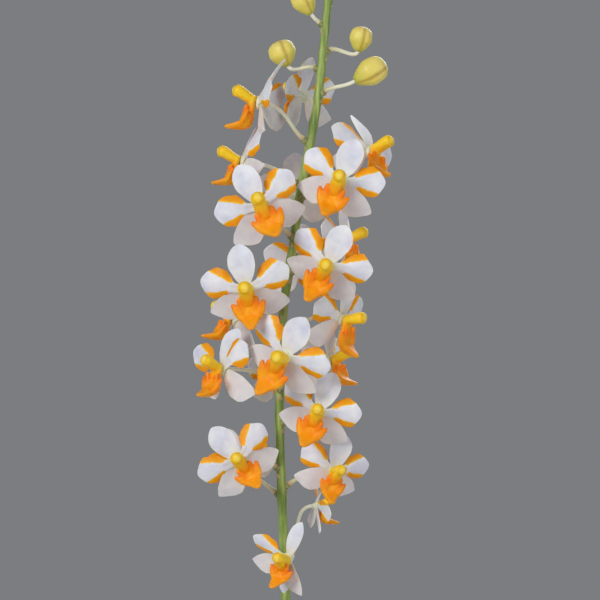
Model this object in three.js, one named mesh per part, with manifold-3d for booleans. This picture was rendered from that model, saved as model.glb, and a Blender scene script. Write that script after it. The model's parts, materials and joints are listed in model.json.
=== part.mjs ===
// A potted orchid of the vandaenopsis kind: terracotta pot, bark, short stem with thick roots,
// strap leaves in two rows, and one tall spike crowded with white and orange blooms.
// Millimetres, +Z up. The origin is the centre of the pot's underside. The spike is seen from -Y.
import * as THREE from "three";
import { mergeVertices } from "three/addons/utils/BufferGeometryUtils.js";
import Module from "manifold-3d";

const wasm = await Module();
wasm.setup();

// Driving dimensions
const clearance = 0.3; // between neighbouring pieces
const smallest = 0.2; // finer steps than this are smoothed away where pieces are joined
const potSides = 24;
const pot = {
  height: 100, baseRadius: 41, topRadius: 54, wall: 5, floor: 7, rimHeight: 18, rimOut: 3.5, softEdge: 2,
};
const drain = { radius: 5, ringRadius: 24, count: 4, sides: 12 };
const bark = { top: 87, relief: 1.4, rings: 4, collar: 1 };

// The stem from its foot in the bark to its top: height, half-width and half-depth
const stem = [[62, 6, 6], [96, 6, 6], [102, 7.5, 5], [130, 6, 4.5], [136, 2.6, 1.75]];
const stemSides = 12;
const sheath = { reach: 15, foot: 5, wide: 7.5, deep: 3, sides: 8 };
const knob = { radius: 2.6, drop: 12, bend: 7, steps: 3 };
const spikeSides = 7;
const spikeSteps = 26;

// A flower stalk, the knob it stands on, and how far it runs straight at its two ends
const stalk = {
  sides: 4, steps: 3, startRadius: 0.94, endRadius: 0.77, knobRoot: 1.03, knobRadius: 1.15, knobReach: 1.3,
  rise: 35, leaves: 0.35, arrives: 0.45, sunk: 0.8,
};

// A leaf's blade: place along it and share of its half-width, its thickness, how steeply its halves
// fold up, and how late along it droops
const leafShape = {
  stations: [
    [0, 0.45], [0.12, 0.72], [0.26, 0.92], [0.4, 1], [0.55, 1], [0.7, 0.97], [0.84, 0.86], [0.95, 0.6],
    [1, 0.3],
  ],
  thickness: 1.8, fold: 0.22, droop: 1.3,
};

const leaves = [
  { azimuth: 196, height: 98, length: 165, halfWidth: 14, start: 42, end: -28 },
  { azimuth: 14, height: 104, length: 175, halfWidth: 14.5, start: 46, end: -20 },
  { azimuth: 200, height: 113, length: 170, halfWidth: 14, start: 58, end: -4 },
  { azimuth: 18, height: 121, length: 150, halfWidth: 13, start: 66, end: 8 },
  { azimuth: 204, height: 130, length: 110, halfWidth: 11, start: 76, end: 34 },
];

const rootSteps = 8;
const rootSides = 5;
const rootTaper = 0.35;
const roots = [
  {
    radius: 2.6,
    route: [[0, 0, 96], [-11, -9, 98], [-22, -17, 94.5], [-33, -19, 92.5], [-41, -9, 92.3], [-42, 4, 92.3]],
  },
  {
    radius: 2.4,
    route: [[0, 0, 97], [12, -7, 99.5], [23, -12, 95.5], [31, -18, 92.8], [34, -25, 92.4], [31, -32, 92.3]],
  },
  { radius: 2.3, route: [[0, 0, 96], [9, 11, 97], [16, 25, 93], [4, 37, 92.2], [-13, 40, 92.2]] },
  {
    radius: 2.5,
    route: [[0, 0, 101], [22, 16, 108], [43, 33, 114], [54, 42, 101], [56, 44, 78], [51, 43, 55]],
  },
  { radius: 2.2, route: [[0, 0, 97], [-14, 9, 98], [-28, 20, 93], [-38, 23, 92.3]] },
];

// The spike leans and bends as it grows: x, y, z of its axis and its radius there
const spikeRoute = [
  [7, -8.5, 118, 2.1], [8.5, -10, 134, 2.1], [7, -8, 175, 2], [3, -3, 235, 1.8], [0.3, 0, 300, 1.6],
  [-1, 0, 335, 1.5], [-1.8, 0, 362, 1.5], [-0.7, 0, 395, 1.45], [2.8, 0, 419, 1.45], [5.2, 0, 436, 1.4],
  [10.8, 0, 466, 1.4], [14.2, 0, 498, 1.25], [17.5, 0, 522, 1], [20, 0, 544, 0.7],
];

// Where each bloom's centre is, how it is turned (to the viewer's right, up, clockwise), its size,
// and the height on the spike that its stalk grows from
const blooms = [
  {
    at: [-8.5, -4, 465.5], turn: [-86, 5, 0], size: 1.05, from: 452, lip: [0.9, 1.15],
    blades: {
      dorsal: { lean: 0.45, width: 0.85 }, rightSepal: { angle: 128, lean: 0.1, width: 0.7 },
      leftSepal: { angle: 100, lean: 0.7 }, leftPetal: { angle: 72, lean: 0.6 },
    },
  },
  { at: [6, 14.5, 468.5], turn: [-128, 8, 0], size: 0.95, from: 458 },
  {
    at: [-14, 1, 446], turn: [-82, 3, 0], size: 1, from: 438,
    blades: {
      dorsal: { lean: 0.4 }, rightPetal: { angle: 50, lean: 0.3 },
      rightSepal: { angle: 94, lean: 0.35, width: 0.7 },
    },
  },
  {
    at: [28.5, 3, 449.5], turn: [50, 4, 20], size: 1, from: 441,
    blades: { dorsal: { lean: 0.75 }, leftPetal: { lean: 0.45 }, leftSepal: { lean: 0.4 } },
  },
  { at: [-8, -14, 431], turn: [5, -5, -28], size: 1.05, from: 420, lip: [1, 1.3] },
  { at: [18, -14, 439], turn: [-10, -10, 22], size: 1.02, from: 433, lip: [1, 1.35] },
  { at: [3, 16, 436], turn: [-165, 0, 0], size: 0.95, from: 428 },
  { at: [14, -14, 411.5], turn: [-16, -20, 31], size: 1.02, from: 408, lip: [0.95, 1.35] },
  { at: [19.5, 6, 420], turn: [68, -4, 0], size: 0.97, from: 413 },
  { at: [-12.5, -18.5, 403.5], turn: [0, -20, -9], size: 1.05, from: 396, lip: [1, 1.3] },
  { at: [-17, 7, 393.5], turn: [-72, 11, 0], size: 1, from: 386 },
  { at: [19, -2, 393.5], turn: [55, -20, 0], size: 1, from: 388, lip: [0.75, 1.3] },
  { at: [0, -21, 381.5], turn: [-30, -20, 36], size: 1.07, from: 369, lip: [0.95, 1.4] },
  {
    at: [-21, -6, 377], turn: [-46, 0, 4], size: 1, from: 372, lip: [0.85, 1.15],
    blades: { dorsal: { angle: 18, lean: 0.2 }, rightPetal: { angle: 50, lean: 0.05 }, leftPetal: { lean: 0 } },
  },
  { at: [15, 8, 379.5], turn: [62, 0, 0], size: 1, from: 374 },
  { at: [11, -11, 363], turn: [-11, -13, 23], size: 0.97, from: 358, lip: [1, 1.35] },
  { at: [-3, 15, 375], turn: [-150, 0, 0], size: 0.9, from: 361 },
  { at: [-15.2, -11, 347], turn: [10, -10, -39], size: 0.97, from: 343, lip: [0.9, 1.2] },
  { at: [16.2, -2.5, 343.3], turn: [15, -19, 15], size: 0.88, from: 337, lip: [0.95, 1.3] },
  {
    at: [10.5, 6, 331], turn: [88, 0, 0], size: 0.75, from: 313,
    blades: {
      dorsal: { lean: -0.3 }, leftPetal: { angle: 100, lean: -0.45 }, rightPetal: { lean: 0 },
      leftSepal: { angle: 140, lean: -0.15 },
    },
  },
  {
    at: [1, -14, 315], turn: [-34, -18, 18], size: 0.92, from: 308, lip: [0.85, 1.05],
    blades: {
      dorsal: { angle: 8, lean: 0.2, width: 0.65 },
      leftPetal: { angle: 70, lean: -0.15, width: 0.65 }, leftSepal: { angle: 112, lean: -0.1, width: 0.85 },
      rightPetal: { angle: 182, lean: 0.05, width: 0.5 }, rightSepal: { angle: 150, lean: 0, width: 0.75 },
    },
  },
  { at: [-15, 8, 346], turn: [175, 0, 30], size: 0.85, from: 334 },
  { at: [6, 16, 412], turn: [165, 0, 0], size: 0.95, from: 405 },
];

// Closed buds: centre, the way the bud points, length and radius, and the height it grows from
const buds = [
  { at: [6.3, -2, 499.5], points: [-0.5, 0, 0.9], length: 10, radius: 4, from: 491 },
  { at: [25.3, 1, 487], points: [0.2, 0, 1], length: 8.5, radius: 3.8, from: 482 },
  { at: [-0.7, 4.5, 482.5], points: [-0.35, 0, 0.95], length: 9, radius: 4.6, from: 476 },
  { at: [28.4, -2, 475.8], points: [0.85, 0, 0.5], length: 12, radius: 4.6, from: 468 },
  { at: [22, 3, 507], points: [0.4, 0.2, 0.9], length: 6.5, radius: 2.8, from: 500 },
];

// Small buds that still hug the tip of the spike: height, direction round the axis, radius
const tipBuds = [
  { height: 514, azimuth: 190, radius: 2.1 },
  { height: 521, azimuth: 330, radius: 1.9 },
  { height: 528, azimuth: 110, radius: 1.6 },
  { height: 534, azimuth: 240, radius: 1.3 },
  { height: 540, azimuth: 20, radius: 1.1 },
];
const tipBudShape = { rise: 48, sunk: 0.6, slender: 2.9, sides: 5 };
const budSides = 8;
const eggWidths = [0.3, 0.75, 1, 0.9, 0.3];

// Sepals and petals: length, angle from straight up, stations of [place along it, left, right],
// how far the tip leans back per length and how steeply the edges fold back
const dorsalSepal = {
  length: 14.4, angle: 0, base: 0, lean: 0.14, fold: -0.12,
  stations: [[0.1, 1.5, 1.5], [0.55, 4.1, 4.1], [0.84, 3.6, 3.6], [1, 0.8, 0.8]],
};
const petal = {
  length: 14.6, angle: 72, base: 0.5, lean: 0.22, fold: 0.3,
  stations: [[0.1, 1.3, 1.3], [0.32, 1.6, 1.6], [0.45, 4.6, 4.6], [0.78, 4.7, 4.7], [1, 1.2, 1.2]],
};
const lateralSepal = {
  length: 14.6, angle: 120, base: 0, lean: 0.28, fold: -0.05,
  stations: [[0.1, 1.3, 1.2], [0.3, 2.3, 4.4], [0.55, 2.5, 6.4], [0.8, 1.8, 5], [1, 0.3, 0.6]],
};
const bladeThickness = 0.8;
const hub = { radius: 2.1, top: 0.9, neck: 2.2 };

// The column: y, z of its axis with its half-width and half-depth there
const column = [
  [0.4, 1.8, 1.9, 1.5], [1.5, 3.9, 2.2, 1.7], [2.9, 6.6, 2.7, 1.9], [3.8, 8.5, 1.9, 1.2],
];
const columnSides = 6;
const columnSlant = 0.35;
const beak = { root: [0, 2.6, 7.8], tip: [0, 1.1, 7.9], radius: 0.7, tipRadius: 0.3, sides: 3 };

// The lip from the column's foot to the tip of its tongue: its side edge x, y, z, the bulge of its
// flank x, y, z, its top y, z and its keel y, z
const lip = [
  { edge: [2, 1, 2.8], flank: [1.8, 0.6, 1.5], top: [1.2, 3], keel: [0.4, 1.3] },
  { edge: [2.4, -1.3, 3.1], flank: [2.2, -2, 1.5], top: [-1.1, 3.4], keel: [-2.8, 1.2] },
  { edge: [4.9, -2.3, 3.4], flank: [3.4, -4.8, 1.9], top: [-3.2, 4.3], keel: [-6.4, 1.2] },
  { edge: [4.1, -4.7, 4.7], flank: [3.7, -6.4, 3.4], top: [-4.7, 5.3], keel: [-8, 2.6] },
  { edge: [3, -5.7, 6.6], flank: [2.8, -7, 6.1], top: [-5.6, 6.8], keel: [-8, 5.4] },
  { edge: [2, -6.3, 8.6], flank: [1.9, -7.3, 8.4], top: [-6.2, 8.7], keel: [-7.9, 8.2] },
  { edge: [1.3, -6.8, 10.3], flank: [1.2, -7.5, 10.2], top: [-6.7, 10.4], keel: [-7.8, 10.1] },
];
const lipOfMost = [0.8, 1.03]; // how far the lip spreads and stretches on flowers that don't say

const materials = {
  terracotta: { color: 0xb5694a, roughness: 0.85, metalness: 0 },
  bark: { color: 0x6b4630, roughness: 0.95, metalness: 0 },
  root: { color: 0xb9bda2, roughness: 0.75, metalness: 0 },
  leaf: { color: 0x3f6b2c, roughness: 0.45, metalness: 0 },
  spike: { color: 0x7f9f45, roughness: 0.5, metalness: 0 },
  bud: { color: 0xdcc95a, roughness: 0.5, metalness: 0 },
  tepal: { color: 0xf2f0ee, roughness: 0.55, metalness: 0 },
  lip: { color: 0xf79a10, roughness: 0.45, metalness: 0 },
};

const vector = (list) => new THREE.Vector3(...list);
const radians = THREE.MathUtils.degToRad;

function seededRandom(seed) {
  let state = seed;
  return () => {
    state = (state * 1664525 + 1013904223) % 4294967296;
    return state / 4294967296;
  };
}

function geometryFrom(points, faces) {
  const geometry = new THREE.BufferGeometry();
  const numbers = points.flatMap(({ x, y, z }) => [x, y, z]);
  geometry.setAttribute("position", new THREE.Float32BufferAttribute(numbers, 3));
  geometry.setIndex(faces.flat());
  return geometry;
}

function solidFrom(geometry) {
  const bare = geometry.clone();
  bare.deleteAttribute("normal");
  bare.deleteAttribute("uv");
  const merged = mergeVertices(bare);
  const vertProperties = new Float32Array(merged.attributes.position.array);
  const triVerts = new Uint32Array(merged.index.array);
  return new wasm.Manifold(new wasm.Mesh({ numProp: 3, vertProperties, triVerts }));
}

function joined(geometries) {
  const solid = geometries.map(solidFrom).reduce((sum, next) => sum.add(next));
  return geometryOf(solid.simplify(smallest));
}

function geometryOf(solid) {
  const mesh = solid.getMesh();
  const geometry = new THREE.BufferGeometry();
  geometry.setAttribute("position", new THREE.BufferAttribute(mesh.vertProperties, 3));
  geometry.setIndex(new THREE.BufferAttribute(mesh.triVerts, 1));
  geometry.computeVertexNormals();
  return geometry;
}

function pieceOf(name, geometry, look) {
  const mesh = new THREE.Mesh(geometry, new THREE.MeshStandardMaterial(materials[look]));
  mesh.name = name;
  return mesh;
}

// A closed skin over rings of points that turn anticlockwise about the way the rings follow each other
function skin(rings) {
  const count = rings[0].length;
  const last = (rings.length - 1) * count;
  const faces = [];
  for (let start = 0; start < last; start += count) {
    for (let k = 0; k < count; k += 1) {
      const next = (k + 1) % count;
      faces.push([start + k, start + next, start + count + next]);
      faces.push([start + k, start + count + next, start + count + k]);
    }
  }
  for (let k = 1; k < count - 1; k += 1) {
    faces.push([0, k + 1, k]);
    faces.push([last, last + k, last + k + 1]);
  }
  return geometryFrom(rings.flat(), faces);
}

// A tube along a curve, with its radius given for each share of the length
function tube(curve, steps, sides, radiusAt) {
  const frames = curve.computeFrenetFrames(steps, false);
  const rings = frames.tangents.map((tangent, i) => {
    const centre = curve.getPointAt(i / steps);
    const radius = radiusAt(i / steps, centre);
    return Array.from({ length: sides }, (none, k) => {
      const turn = (2 * Math.PI * k) / sides;
      return centre.clone()
        .addScaledVector(frames.normals[i], radius * Math.cos(turn))
        .addScaledVector(frames.binormals[i], radius * Math.sin(turn));
    });
  });
  return skin(rings);
}

function straightTube(start, end, startRadius, endRadius, sides) {
  const line = new THREE.LineCurve3(start, end);
  return tube(line, 1, sides, (share) => THREE.MathUtils.lerp(startRadius, endRadius, share));
}

// A thin blade from stations of [place along it, left, right], split alike on both faces.
// place(share, side, depth) gives the point for a share of the length, a distance to the side
// and a depth under the upper face
function blade(stations, thickness, place) {
  const columns = 3;
  const face = (depth) => stations.flatMap(([share, left, right]) => (
    [-left, 0, right].map((side) => place(share, side, depth))));
  const under = stations.length * columns;
  const faces = [];
  const quad = (a, b, c, d) => faces.push([a, b, c], [a, c, d]);
  for (let i = 0; i < stations.length - 1; i += 1) {
    const row = i * columns;
    const next = row + columns;
    for (let j = 0; j < columns - 1; j += 1) {
      const [a, b, c, d] = [row + j, row + j + 1, next + j + 1, next + j];
      quad(a, b, c, d);
      faces.push([a + under, c + under, b + under], [a + under, d + under, c + under]);
    }
    quad(row, next, next + under, row + under);
    quad(row + 2, row + 2 + under, next + 2 + under, next + 2);
  }
  const tip = under - columns;
  for (let j = 0; j < columns - 1; j += 1) {
    quad(j, j + under, j + 1 + under, j + 1);
    quad(tip + j, tip + j + 1, tip + j + 1 + under, tip + j + under);
  }
  return geometryFrom([...face(0), ...face(thickness)], faces);
}

function potRadius(height) {
  return THREE.MathUtils.mapLinear(height, 0, pot.height, pot.baseRadius, pot.topRadius);
}

function standing(geometry) {
  return geometry.rotateX(Math.PI / 2);
}

function makePot() {
  const inside = (height) => potRadius(height) - pot.wall;
  const rimBottom = pot.height - pot.rimHeight;
  const rimRadius = pot.topRadius + pot.rimOut;
  const shoulder = pot.height - pot.softEdge;
  const profile = [
    [0, 0], [pot.baseRadius, 0], [potRadius(rimBottom), rimBottom], [rimRadius, rimBottom],
    [rimRadius, shoulder], [rimRadius - pot.softEdge, pot.height],
    [inside(shoulder) + pot.softEdge, pot.height], [inside(shoulder), shoulder],
    [inside(pot.floor), pot.floor], [0, pot.floor],
  ].map(([x, y]) => new THREE.Vector2(x, y));
  let solid = solidFrom(standing(new THREE.LatheGeometry(profile, potSides)));
  for (let i = 0; i < drain.count; i += 1) {
    const turn = (2 * Math.PI * (i + 0.5)) / drain.count;
    const drill = new THREE.CylinderGeometry(drain.radius, drain.radius, 4 * pot.floor, drain.sides);
    const hole = standing(drill);
    hole.translate(drain.ringRadius * Math.cos(turn), drain.ringRadius * Math.sin(turn), 0);
    solid = solid.subtract(solidFrom(hole));
  }
  return pieceOf("pot", geometryOf(solid), "terracotta");
}

// Bark chips fill the pot: a rubble top over a plain body, with a plain hole for the stem
function makeBark() {
  const random = seededRandom(7);
  const reach = (height) => potRadius(height) - pot.wall - clearance;
  const ring = (radius, height) => Array.from({ length: potSides }, (none, k) => {
    const turn = (2 * Math.PI * k) / potSides;
    return new THREE.Vector3(radius * Math.sin(turn), -radius * Math.cos(turn), height());
  });
  const bottom = pot.floor + clearance;
  const [stemFoot, stemRadius] = stem[0];
  const holeRadius = stemRadius + clearance;
  const collarRadius = holeRadius + bark.collar;
  const rings = [ring(reach(bottom), () => bottom), ring(reach(bark.top), () => bark.top)];
  for (let i = 1; i <= bark.rings; i += 1) {
    const radius = THREE.MathUtils.lerp(reach(bark.top), collarRadius, i / (bark.rings + 1));
    rings.push(ring(radius, () => bark.top + bark.relief * (random() * 2 - 1)));
  }
  rings.push(ring(collarRadius, () => bark.top));
  const depth = bark.top - stemFoot + clearance;
  const hole = standing(new THREE.CylinderGeometry(holeRadius, holeRadius, 2 * depth, stemSides));
  hole.translate(0, 0, bark.top);
  return pieceOf("potting_bark", geometryOf(solidFrom(skin(rings)).subtract(solidFrom(hole))), "bark");
}

// A level direction tilted up by so many degrees
function risen(level, degrees) {
  return level.clone().multiplyScalar(Math.cos(radians(degrees))).setZ(Math.sin(radians(degrees)));
}

function outwardAt(azimuth) {
  return new THREE.Vector3(Math.cos(radians(azimuth)), Math.sin(radians(azimuth)), 0);
}

// Where a leaf stands on the stem: its foot, the level ways out and across, and the way it starts
function leafFrame(leaf) {
  const outward = outwardAt(leaf.azimuth);
  const across = new THREE.Vector3(outward.y, -outward.x, 0);
  return { outward, across, foot: new THREE.Vector3(0, 0, leaf.height), along: risen(outward, leaf.start) };
}

function makeSheath(leaf) {
  const { across, foot, along } = leafFrame(leaf);
  const up = new THREE.Vector3().crossVectors(across, along);
  const section = (reach, wide) => Array.from({ length: sheath.sides }, (none, k) => {
    const turn = (-2 * Math.PI * k) / sheath.sides;
    return foot.clone().addScaledVector(along, reach)
      .addScaledVector(across, wide * Math.cos(turn)).addScaledVector(up, sheath.deep * Math.sin(turn));
  });
  return skin([section(0, sheath.foot), section(sheath.reach, sheath.wide)]);
}

function makeRoot({ radius, route }) {
  const curve = new THREE.CatmullRomCurve3(route.map(vector));
  return tube(curve, rootSteps, rootSides, (share) => radius * (1 - rootTaper * share ** 3));
}

// The spike's foot stands on a knob beside the stem
function makeKnob() {
  const along = spikeAxis.getTangent(0);
  const seat = spikeAxis.getPoint(0).addScaledVector(along, -clearance);
  const root = new THREE.Vector3(0, 0, seat.z - knob.drop);
  const rise = new THREE.QuadraticBezierCurve3(root, seat.clone().addScaledVector(along, -knob.bend), seat);
  return tube(rise, knob.steps, spikeSides, () => knob.radius);
}

// The stem with the sheath of each leaf, the thick roots and the knob that carries the spike
function makeStemAndRoots() {
  const body = skin(stem.map(([height, wide, deep]) => Array.from({ length: stemSides }, (none, k) => {
    const turn = (2 * Math.PI * k) / stemSides;
    return new THREE.Vector3(wide * Math.sin(turn), -deep * Math.cos(turn), height);
  })));
  const pieces = [body, ...leaves.map(makeSheath), ...roots.map(makeRoot), makeKnob()];
  return pieceOf("stem_and_roots", joined(pieces), "root");
}

function makeLeaf(leaf, name) {
  const { outward, across, foot, along } = leafFrame(leaf);
  const point = foot.clone().addScaledVector(along, sheath.reach + clearance);
  let before = 0;
  const spine = leafShape.stations.map(([share]) => {
    const way = risen(outward, THREE.MathUtils.lerp(leaf.start, leaf.end, share ** leafShape.droop));
    point.addScaledVector(way, (share - before) * leaf.length);
    before = share;
    return { centre: point.clone(), up: new THREE.Vector3().crossVectors(across, way) };
  });
  const halfWidths = leafShape.stations.map(([, width]) => width * leaf.halfWidth);
  const stations = halfWidths.map((halfWidth, i) => [i, halfWidth, halfWidth]);
  const geometry = blade(stations, leafShape.thickness, (i, side, depth) => {
    const lift = leafShape.fold * Math.abs(side) + leafShape.thickness / 2 - depth;
    return spine[i].centre.clone().addScaledVector(across, side).addScaledVector(spine[i].up, lift);
  });
  return pieceOf(name, geometryOf(solidFrom(geometry)), "leaf");
}

const spikeAxis = new THREE.CatmullRomCurve3(spikeRoute.map((row) => vector(row.slice(0, 3))));

function spikeRadius(height) {
  const above = Math.max(1, spikeRoute.findIndex((row) => row[2] >= height));
  const [low, high] = [spikeRoute[above - 1], spikeRoute[above]];
  return THREE.MathUtils.mapLinear(height, low[2], high[2], low[3], high[3]);
}

function axisAt(height) {
  let [low, high] = [0, 1];
  for (let i = 0; i < 30; i += 1) {
    const middle = (low + high) / 2;
    if (spikeAxis.getPoint(middle).z < height) {
      low = middle;
    } else {
      high = middle;
    }
  }
  return spikeAxis.getPoint(low);
}

// The knob on the spike that carries a stalk: its root on the axis, its end and the way it points
function knobFor(height, target) {
  const root = axisAt(height);
  const away = new THREE.Vector3(target.x - root.x, target.y - root.y, 0).normalize();
  const along = risen(away, stalk.rise);
  const end = root.clone().addScaledVector(along, spikeRadius(height) + stalk.knobReach);
  return { root, end, along };
}

function makeSpike() {
  const axis = tube(spikeAxis, spikeSteps, spikeSides, (share, centre) => spikeRadius(centre.z));
  const knobs = [...blooms, ...buds].map(({ at, from }) => {
    const { root, end } = knobFor(from, vector(at));
    return straightTube(root, end, stalk.knobRoot, stalk.knobRadius, stalk.sides);
  });
  const small = tipBuds.map(({ height, azimuth, radius }) => {
    const along = risen(outwardAt(azimuth), tipBudShape.rise);
    const foot = axisAt(height).addScaledVector(along, tipBudShape.sunk);
    return eggAlong(foot, along, radius * tipBudShape.slender, radius, tipBudShape.sides);
  });
  return pieceOf("flower_spike", joined([axis, ...knobs, ...small]), "spike");
}

// An egg from its narrow foot to its blunt tip
function eggAlong(foot, along, length, radius, sides) {
  const line = new THREE.LineCurve3(foot, foot.clone().addScaledVector(along, length));
  const steps = eggWidths.length - 1;
  return tube(line, steps, sides, (share) => radius * eggWidths[Math.round(share * steps)]);
}

// A stalk that leaves its knob straight and reaches the back of its bloom or bud
function stalkTo(seat, end, facing) {
  const start = seat.end.clone().addScaledVector(seat.along, clearance);
  const reach = start.distanceTo(end);
  const curve = new THREE.CubicBezierCurve3(
    start,
    start.clone().addScaledVector(seat.along, stalk.leaves * reach),
    end.clone().addScaledVector(facing, -stalk.arrives * reach),
    end,
  );
  const radiusAt = (share) => THREE.MathUtils.lerp(stalk.startRadius, stalk.endRadius, share);
  return tube(curve, stalk.steps, stalk.sides, radiusAt);
}

function makeBud({ at, points, length, radius, from }, name) {
  const centre = vector(at);
  const along = vector(points).normalize();
  const foot = centre.clone().addScaledVector(along, -length / 2);
  const inside = foot.clone().addScaledVector(along, stalk.sunk);
  const egg = eggAlong(foot, along, length, radius, budSides);
  return pieceOf(name, joined([egg, stalkTo(knobFor(from, centre), inside, along)]), "bud");
}

// One sepal or petal in the bloom's own frame: x to the right, y up, z out of its face
function tepal({ length, angle, base, lean, fold, stations, width = 1 }, mirrored) {
  const turned = stations.map(([share, ...sides]) => (
    [share, ...(mirrored ? sides.reverse() : sides).map((side) => side * width)]));
  const geometry = blade(turned, bladeThickness, (share, side, depth) => new THREE.Vector3(
    side, share * length, base - lean * length * share - fold * Math.abs(side) - depth));
  return geometry.rotateZ(radians(mirrored ? angle : -angle));
}

function makeTepals({ dorsal, rightSepal, leftSepal, rightPetal, leftPetal } = {}) {
  return [
    tepal({ ...dorsalSepal, ...dorsal }, false),
    tepal({ ...lateralSepal, ...rightSepal }, false), tepal({ ...lateralSepal, ...leftSepal }, true),
    tepal({ ...petal, ...rightPetal }, false), tepal({ ...petal, ...leftPetal }, true),
  ];
}

// The swelling that the blades grow from, at the end of the stalk
function makeHub() {
  const ends = [-hub.neck, hub.top].map((z) => new THREE.Vector3(0, 0, z));
  return straightTube(...ends, stalk.endRadius, hub.radius, stalk.sides);
}

// What hangs below the column spreads and stretches by the flower's own amount
function hung([x, y, z], [spread, stretch]) {
  const share = THREE.MathUtils.clamp(-y / 2, 0, 1);
  return new THREE.Vector3(x * (1 + (spread - 1) * share), y * (1 + (stretch - 1) * share), z);
}

// The column's foot with the lip's scoop and tongue, and the column and its beak above them
function makeLip(own) {
  const other = ([x, y, z]) => [-x, y, z];
  const scoop = skin(lip.map(({ edge, flank, top, keel }) => [
    flank, edge, [0, ...top], other(edge), other(flank), [0, ...keel],
  ].map((point) => hung(point, own))));
  const shaft = skin(column.map(([y, z, wide, deep]) => Array.from({ length: columnSides }, (none, k) => {
    const turn = (2 * Math.PI * k) / columnSides;
    const up = deep * Math.sin(turn);
    return new THREE.Vector3(wide * Math.cos(turn), y + up, z - columnSlant * up);
  })));
  const hook = straightTube(vector(beak.root), vector(beak.tip), beak.radius, beak.tipRadius, beak.sides);
  return joined([scoop, shaft, hook]);
}

function makeBloom({ at, turn, size, from, lip: own = lipOfMost, blades }, number) {
  const bloom = new THREE.Group();
  bloom.position.set(...at);
  bloom.rotateZ(radians(turn[0]));
  bloom.rotateX(radians(90 - turn[1]));
  bloom.rotateZ(-radians(turn[2]));
  bloom.updateMatrixWorld();
  const sized = (geometry) => geometry.clone().scale(size, size, size);
  const centre = vector(at);
  const facing = new THREE.Vector3(0, 0, 1).applyQuaternion(bloom.quaternion);
  const back = centre.clone().addScaledVector(facing, -stalk.sunk);
  const carrying = stalkTo(knobFor(from, centre), back, facing);
  carrying.applyMatrix4(bloom.matrixWorld.clone().invert());
  const label = String(number).padStart(2, "0");
  const perianth = joined([sized(makeHub()), ...makeTepals(blades).map(sized), carrying]);
  bloom.add(pieceOf(`flower_${label}_tepals`, perianth, "tepal"));
  bloom.add(pieceOf(`flower_${label}_lip`, sized(makeLip(own)), "lip"));
  return bloom;
}

const orchid = new THREE.Group();
orchid.add(makePot(), makeBark(), makeStemAndRoots(), makeSpike());
leaves.forEach((leaf, i) => orchid.add(makeLeaf(leaf, `leaf_${i + 1}`)));
buds.forEach((bud, i) => orchid.add(makeBud(bud, `bud_${i + 1}`)));
blooms.forEach((bloom, i) => orchid.add(makeBloom(bloom, i + 1)));

export default orchid;
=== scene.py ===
"""A potted orchid of the vandaenopsis kind, with one tall spike of small white and orange flowers."""
import json
import math
import random

import bmesh
import bpy
import numpy as np
from mathutils import Matrix, Vector

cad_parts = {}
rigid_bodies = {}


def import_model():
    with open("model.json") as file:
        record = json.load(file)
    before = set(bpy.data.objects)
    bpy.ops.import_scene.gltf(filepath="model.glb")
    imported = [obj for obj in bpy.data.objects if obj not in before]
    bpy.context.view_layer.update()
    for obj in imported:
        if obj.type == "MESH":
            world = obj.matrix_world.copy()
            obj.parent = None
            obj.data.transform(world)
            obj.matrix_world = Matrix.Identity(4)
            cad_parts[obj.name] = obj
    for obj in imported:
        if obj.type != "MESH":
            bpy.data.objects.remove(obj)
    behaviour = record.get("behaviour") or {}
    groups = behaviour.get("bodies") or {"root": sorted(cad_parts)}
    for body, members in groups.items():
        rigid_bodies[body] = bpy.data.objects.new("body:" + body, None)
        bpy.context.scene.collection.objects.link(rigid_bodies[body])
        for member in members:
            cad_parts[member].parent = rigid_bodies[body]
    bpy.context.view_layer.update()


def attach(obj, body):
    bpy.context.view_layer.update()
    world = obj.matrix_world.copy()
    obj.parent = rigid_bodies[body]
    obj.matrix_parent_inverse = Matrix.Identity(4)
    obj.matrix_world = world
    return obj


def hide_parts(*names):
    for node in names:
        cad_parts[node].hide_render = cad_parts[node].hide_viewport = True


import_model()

MM = 0.001


# Pot: a plain thrown pot of unglazed earthenware, with a flat foot, a turned-over rim band and four
# drain holes. Fired clay is matt and uneven in tone, ringed by the thrower's fingers, and pale where
# lime has dried out of it.
POT_HEIGHT = 100
POT_FOOT_RADIUS = 41
POT_MOUTH_RADIUS = 54
POT_WALL = 5
POT_FLOOR = 7
RIM_BAND = 18
RIM_OUT = 3.5
DRAIN_RADIUS = 5
DRAIN_RING_RADIUS = 24
POT_SIDES = 120
ROUNDING_STEPS = 6
DRAINS = 4
# A wave pattern turns through 20 radians in a unit of its own scale
WAVE_RADIANS = 20


def linear(text):
    """A colour given as sRGB hex, in the linear values that a shader works in."""
    channels = [int(text[i:i + 2], 16) / 255 for i in (1, 3, 5)]
    return [c / 12.92 if c <= 0.04045 else ((c + 0.055) / 1.055) ** 2.4 for c in channels] + [1]


def connect(node, inputs):
    """Fills inputs of a node, each by a value, a socket or a node, which stands for its first output."""
    for key, value in inputs.items():
        by_name = [socket for socket in node.inputs if key in (socket.identifier, socket.name)]
        socket = next((s for s in by_name if s.identifier == key), by_name[0])
        if isinstance(value, bpy.types.Node):
            value = next(output for output in value.outputs if output.enabled)
        if isinstance(value, bpy.types.NodeSocket):
            node.id_data.links.new(value, socket)
        else:
            socket.default_value = value


def add(tree, kind, settings=None, inputs=None, stops=()):
    """Adds a node with its settings, what goes into it and, for a colour ramp, its stops."""
    node = tree.nodes.new(kind)
    for name, value in (settings or {}).items():
        setattr(node, name, value)
    connect(node, inputs or {})
    for i, (place, color) in enumerate(stops):
        elements = node.color_ramp.elements
        stop = elements[i] if i < 2 else elements.new(place)
        stop.position = place
        stop.color = linear(color)
    return node


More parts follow.
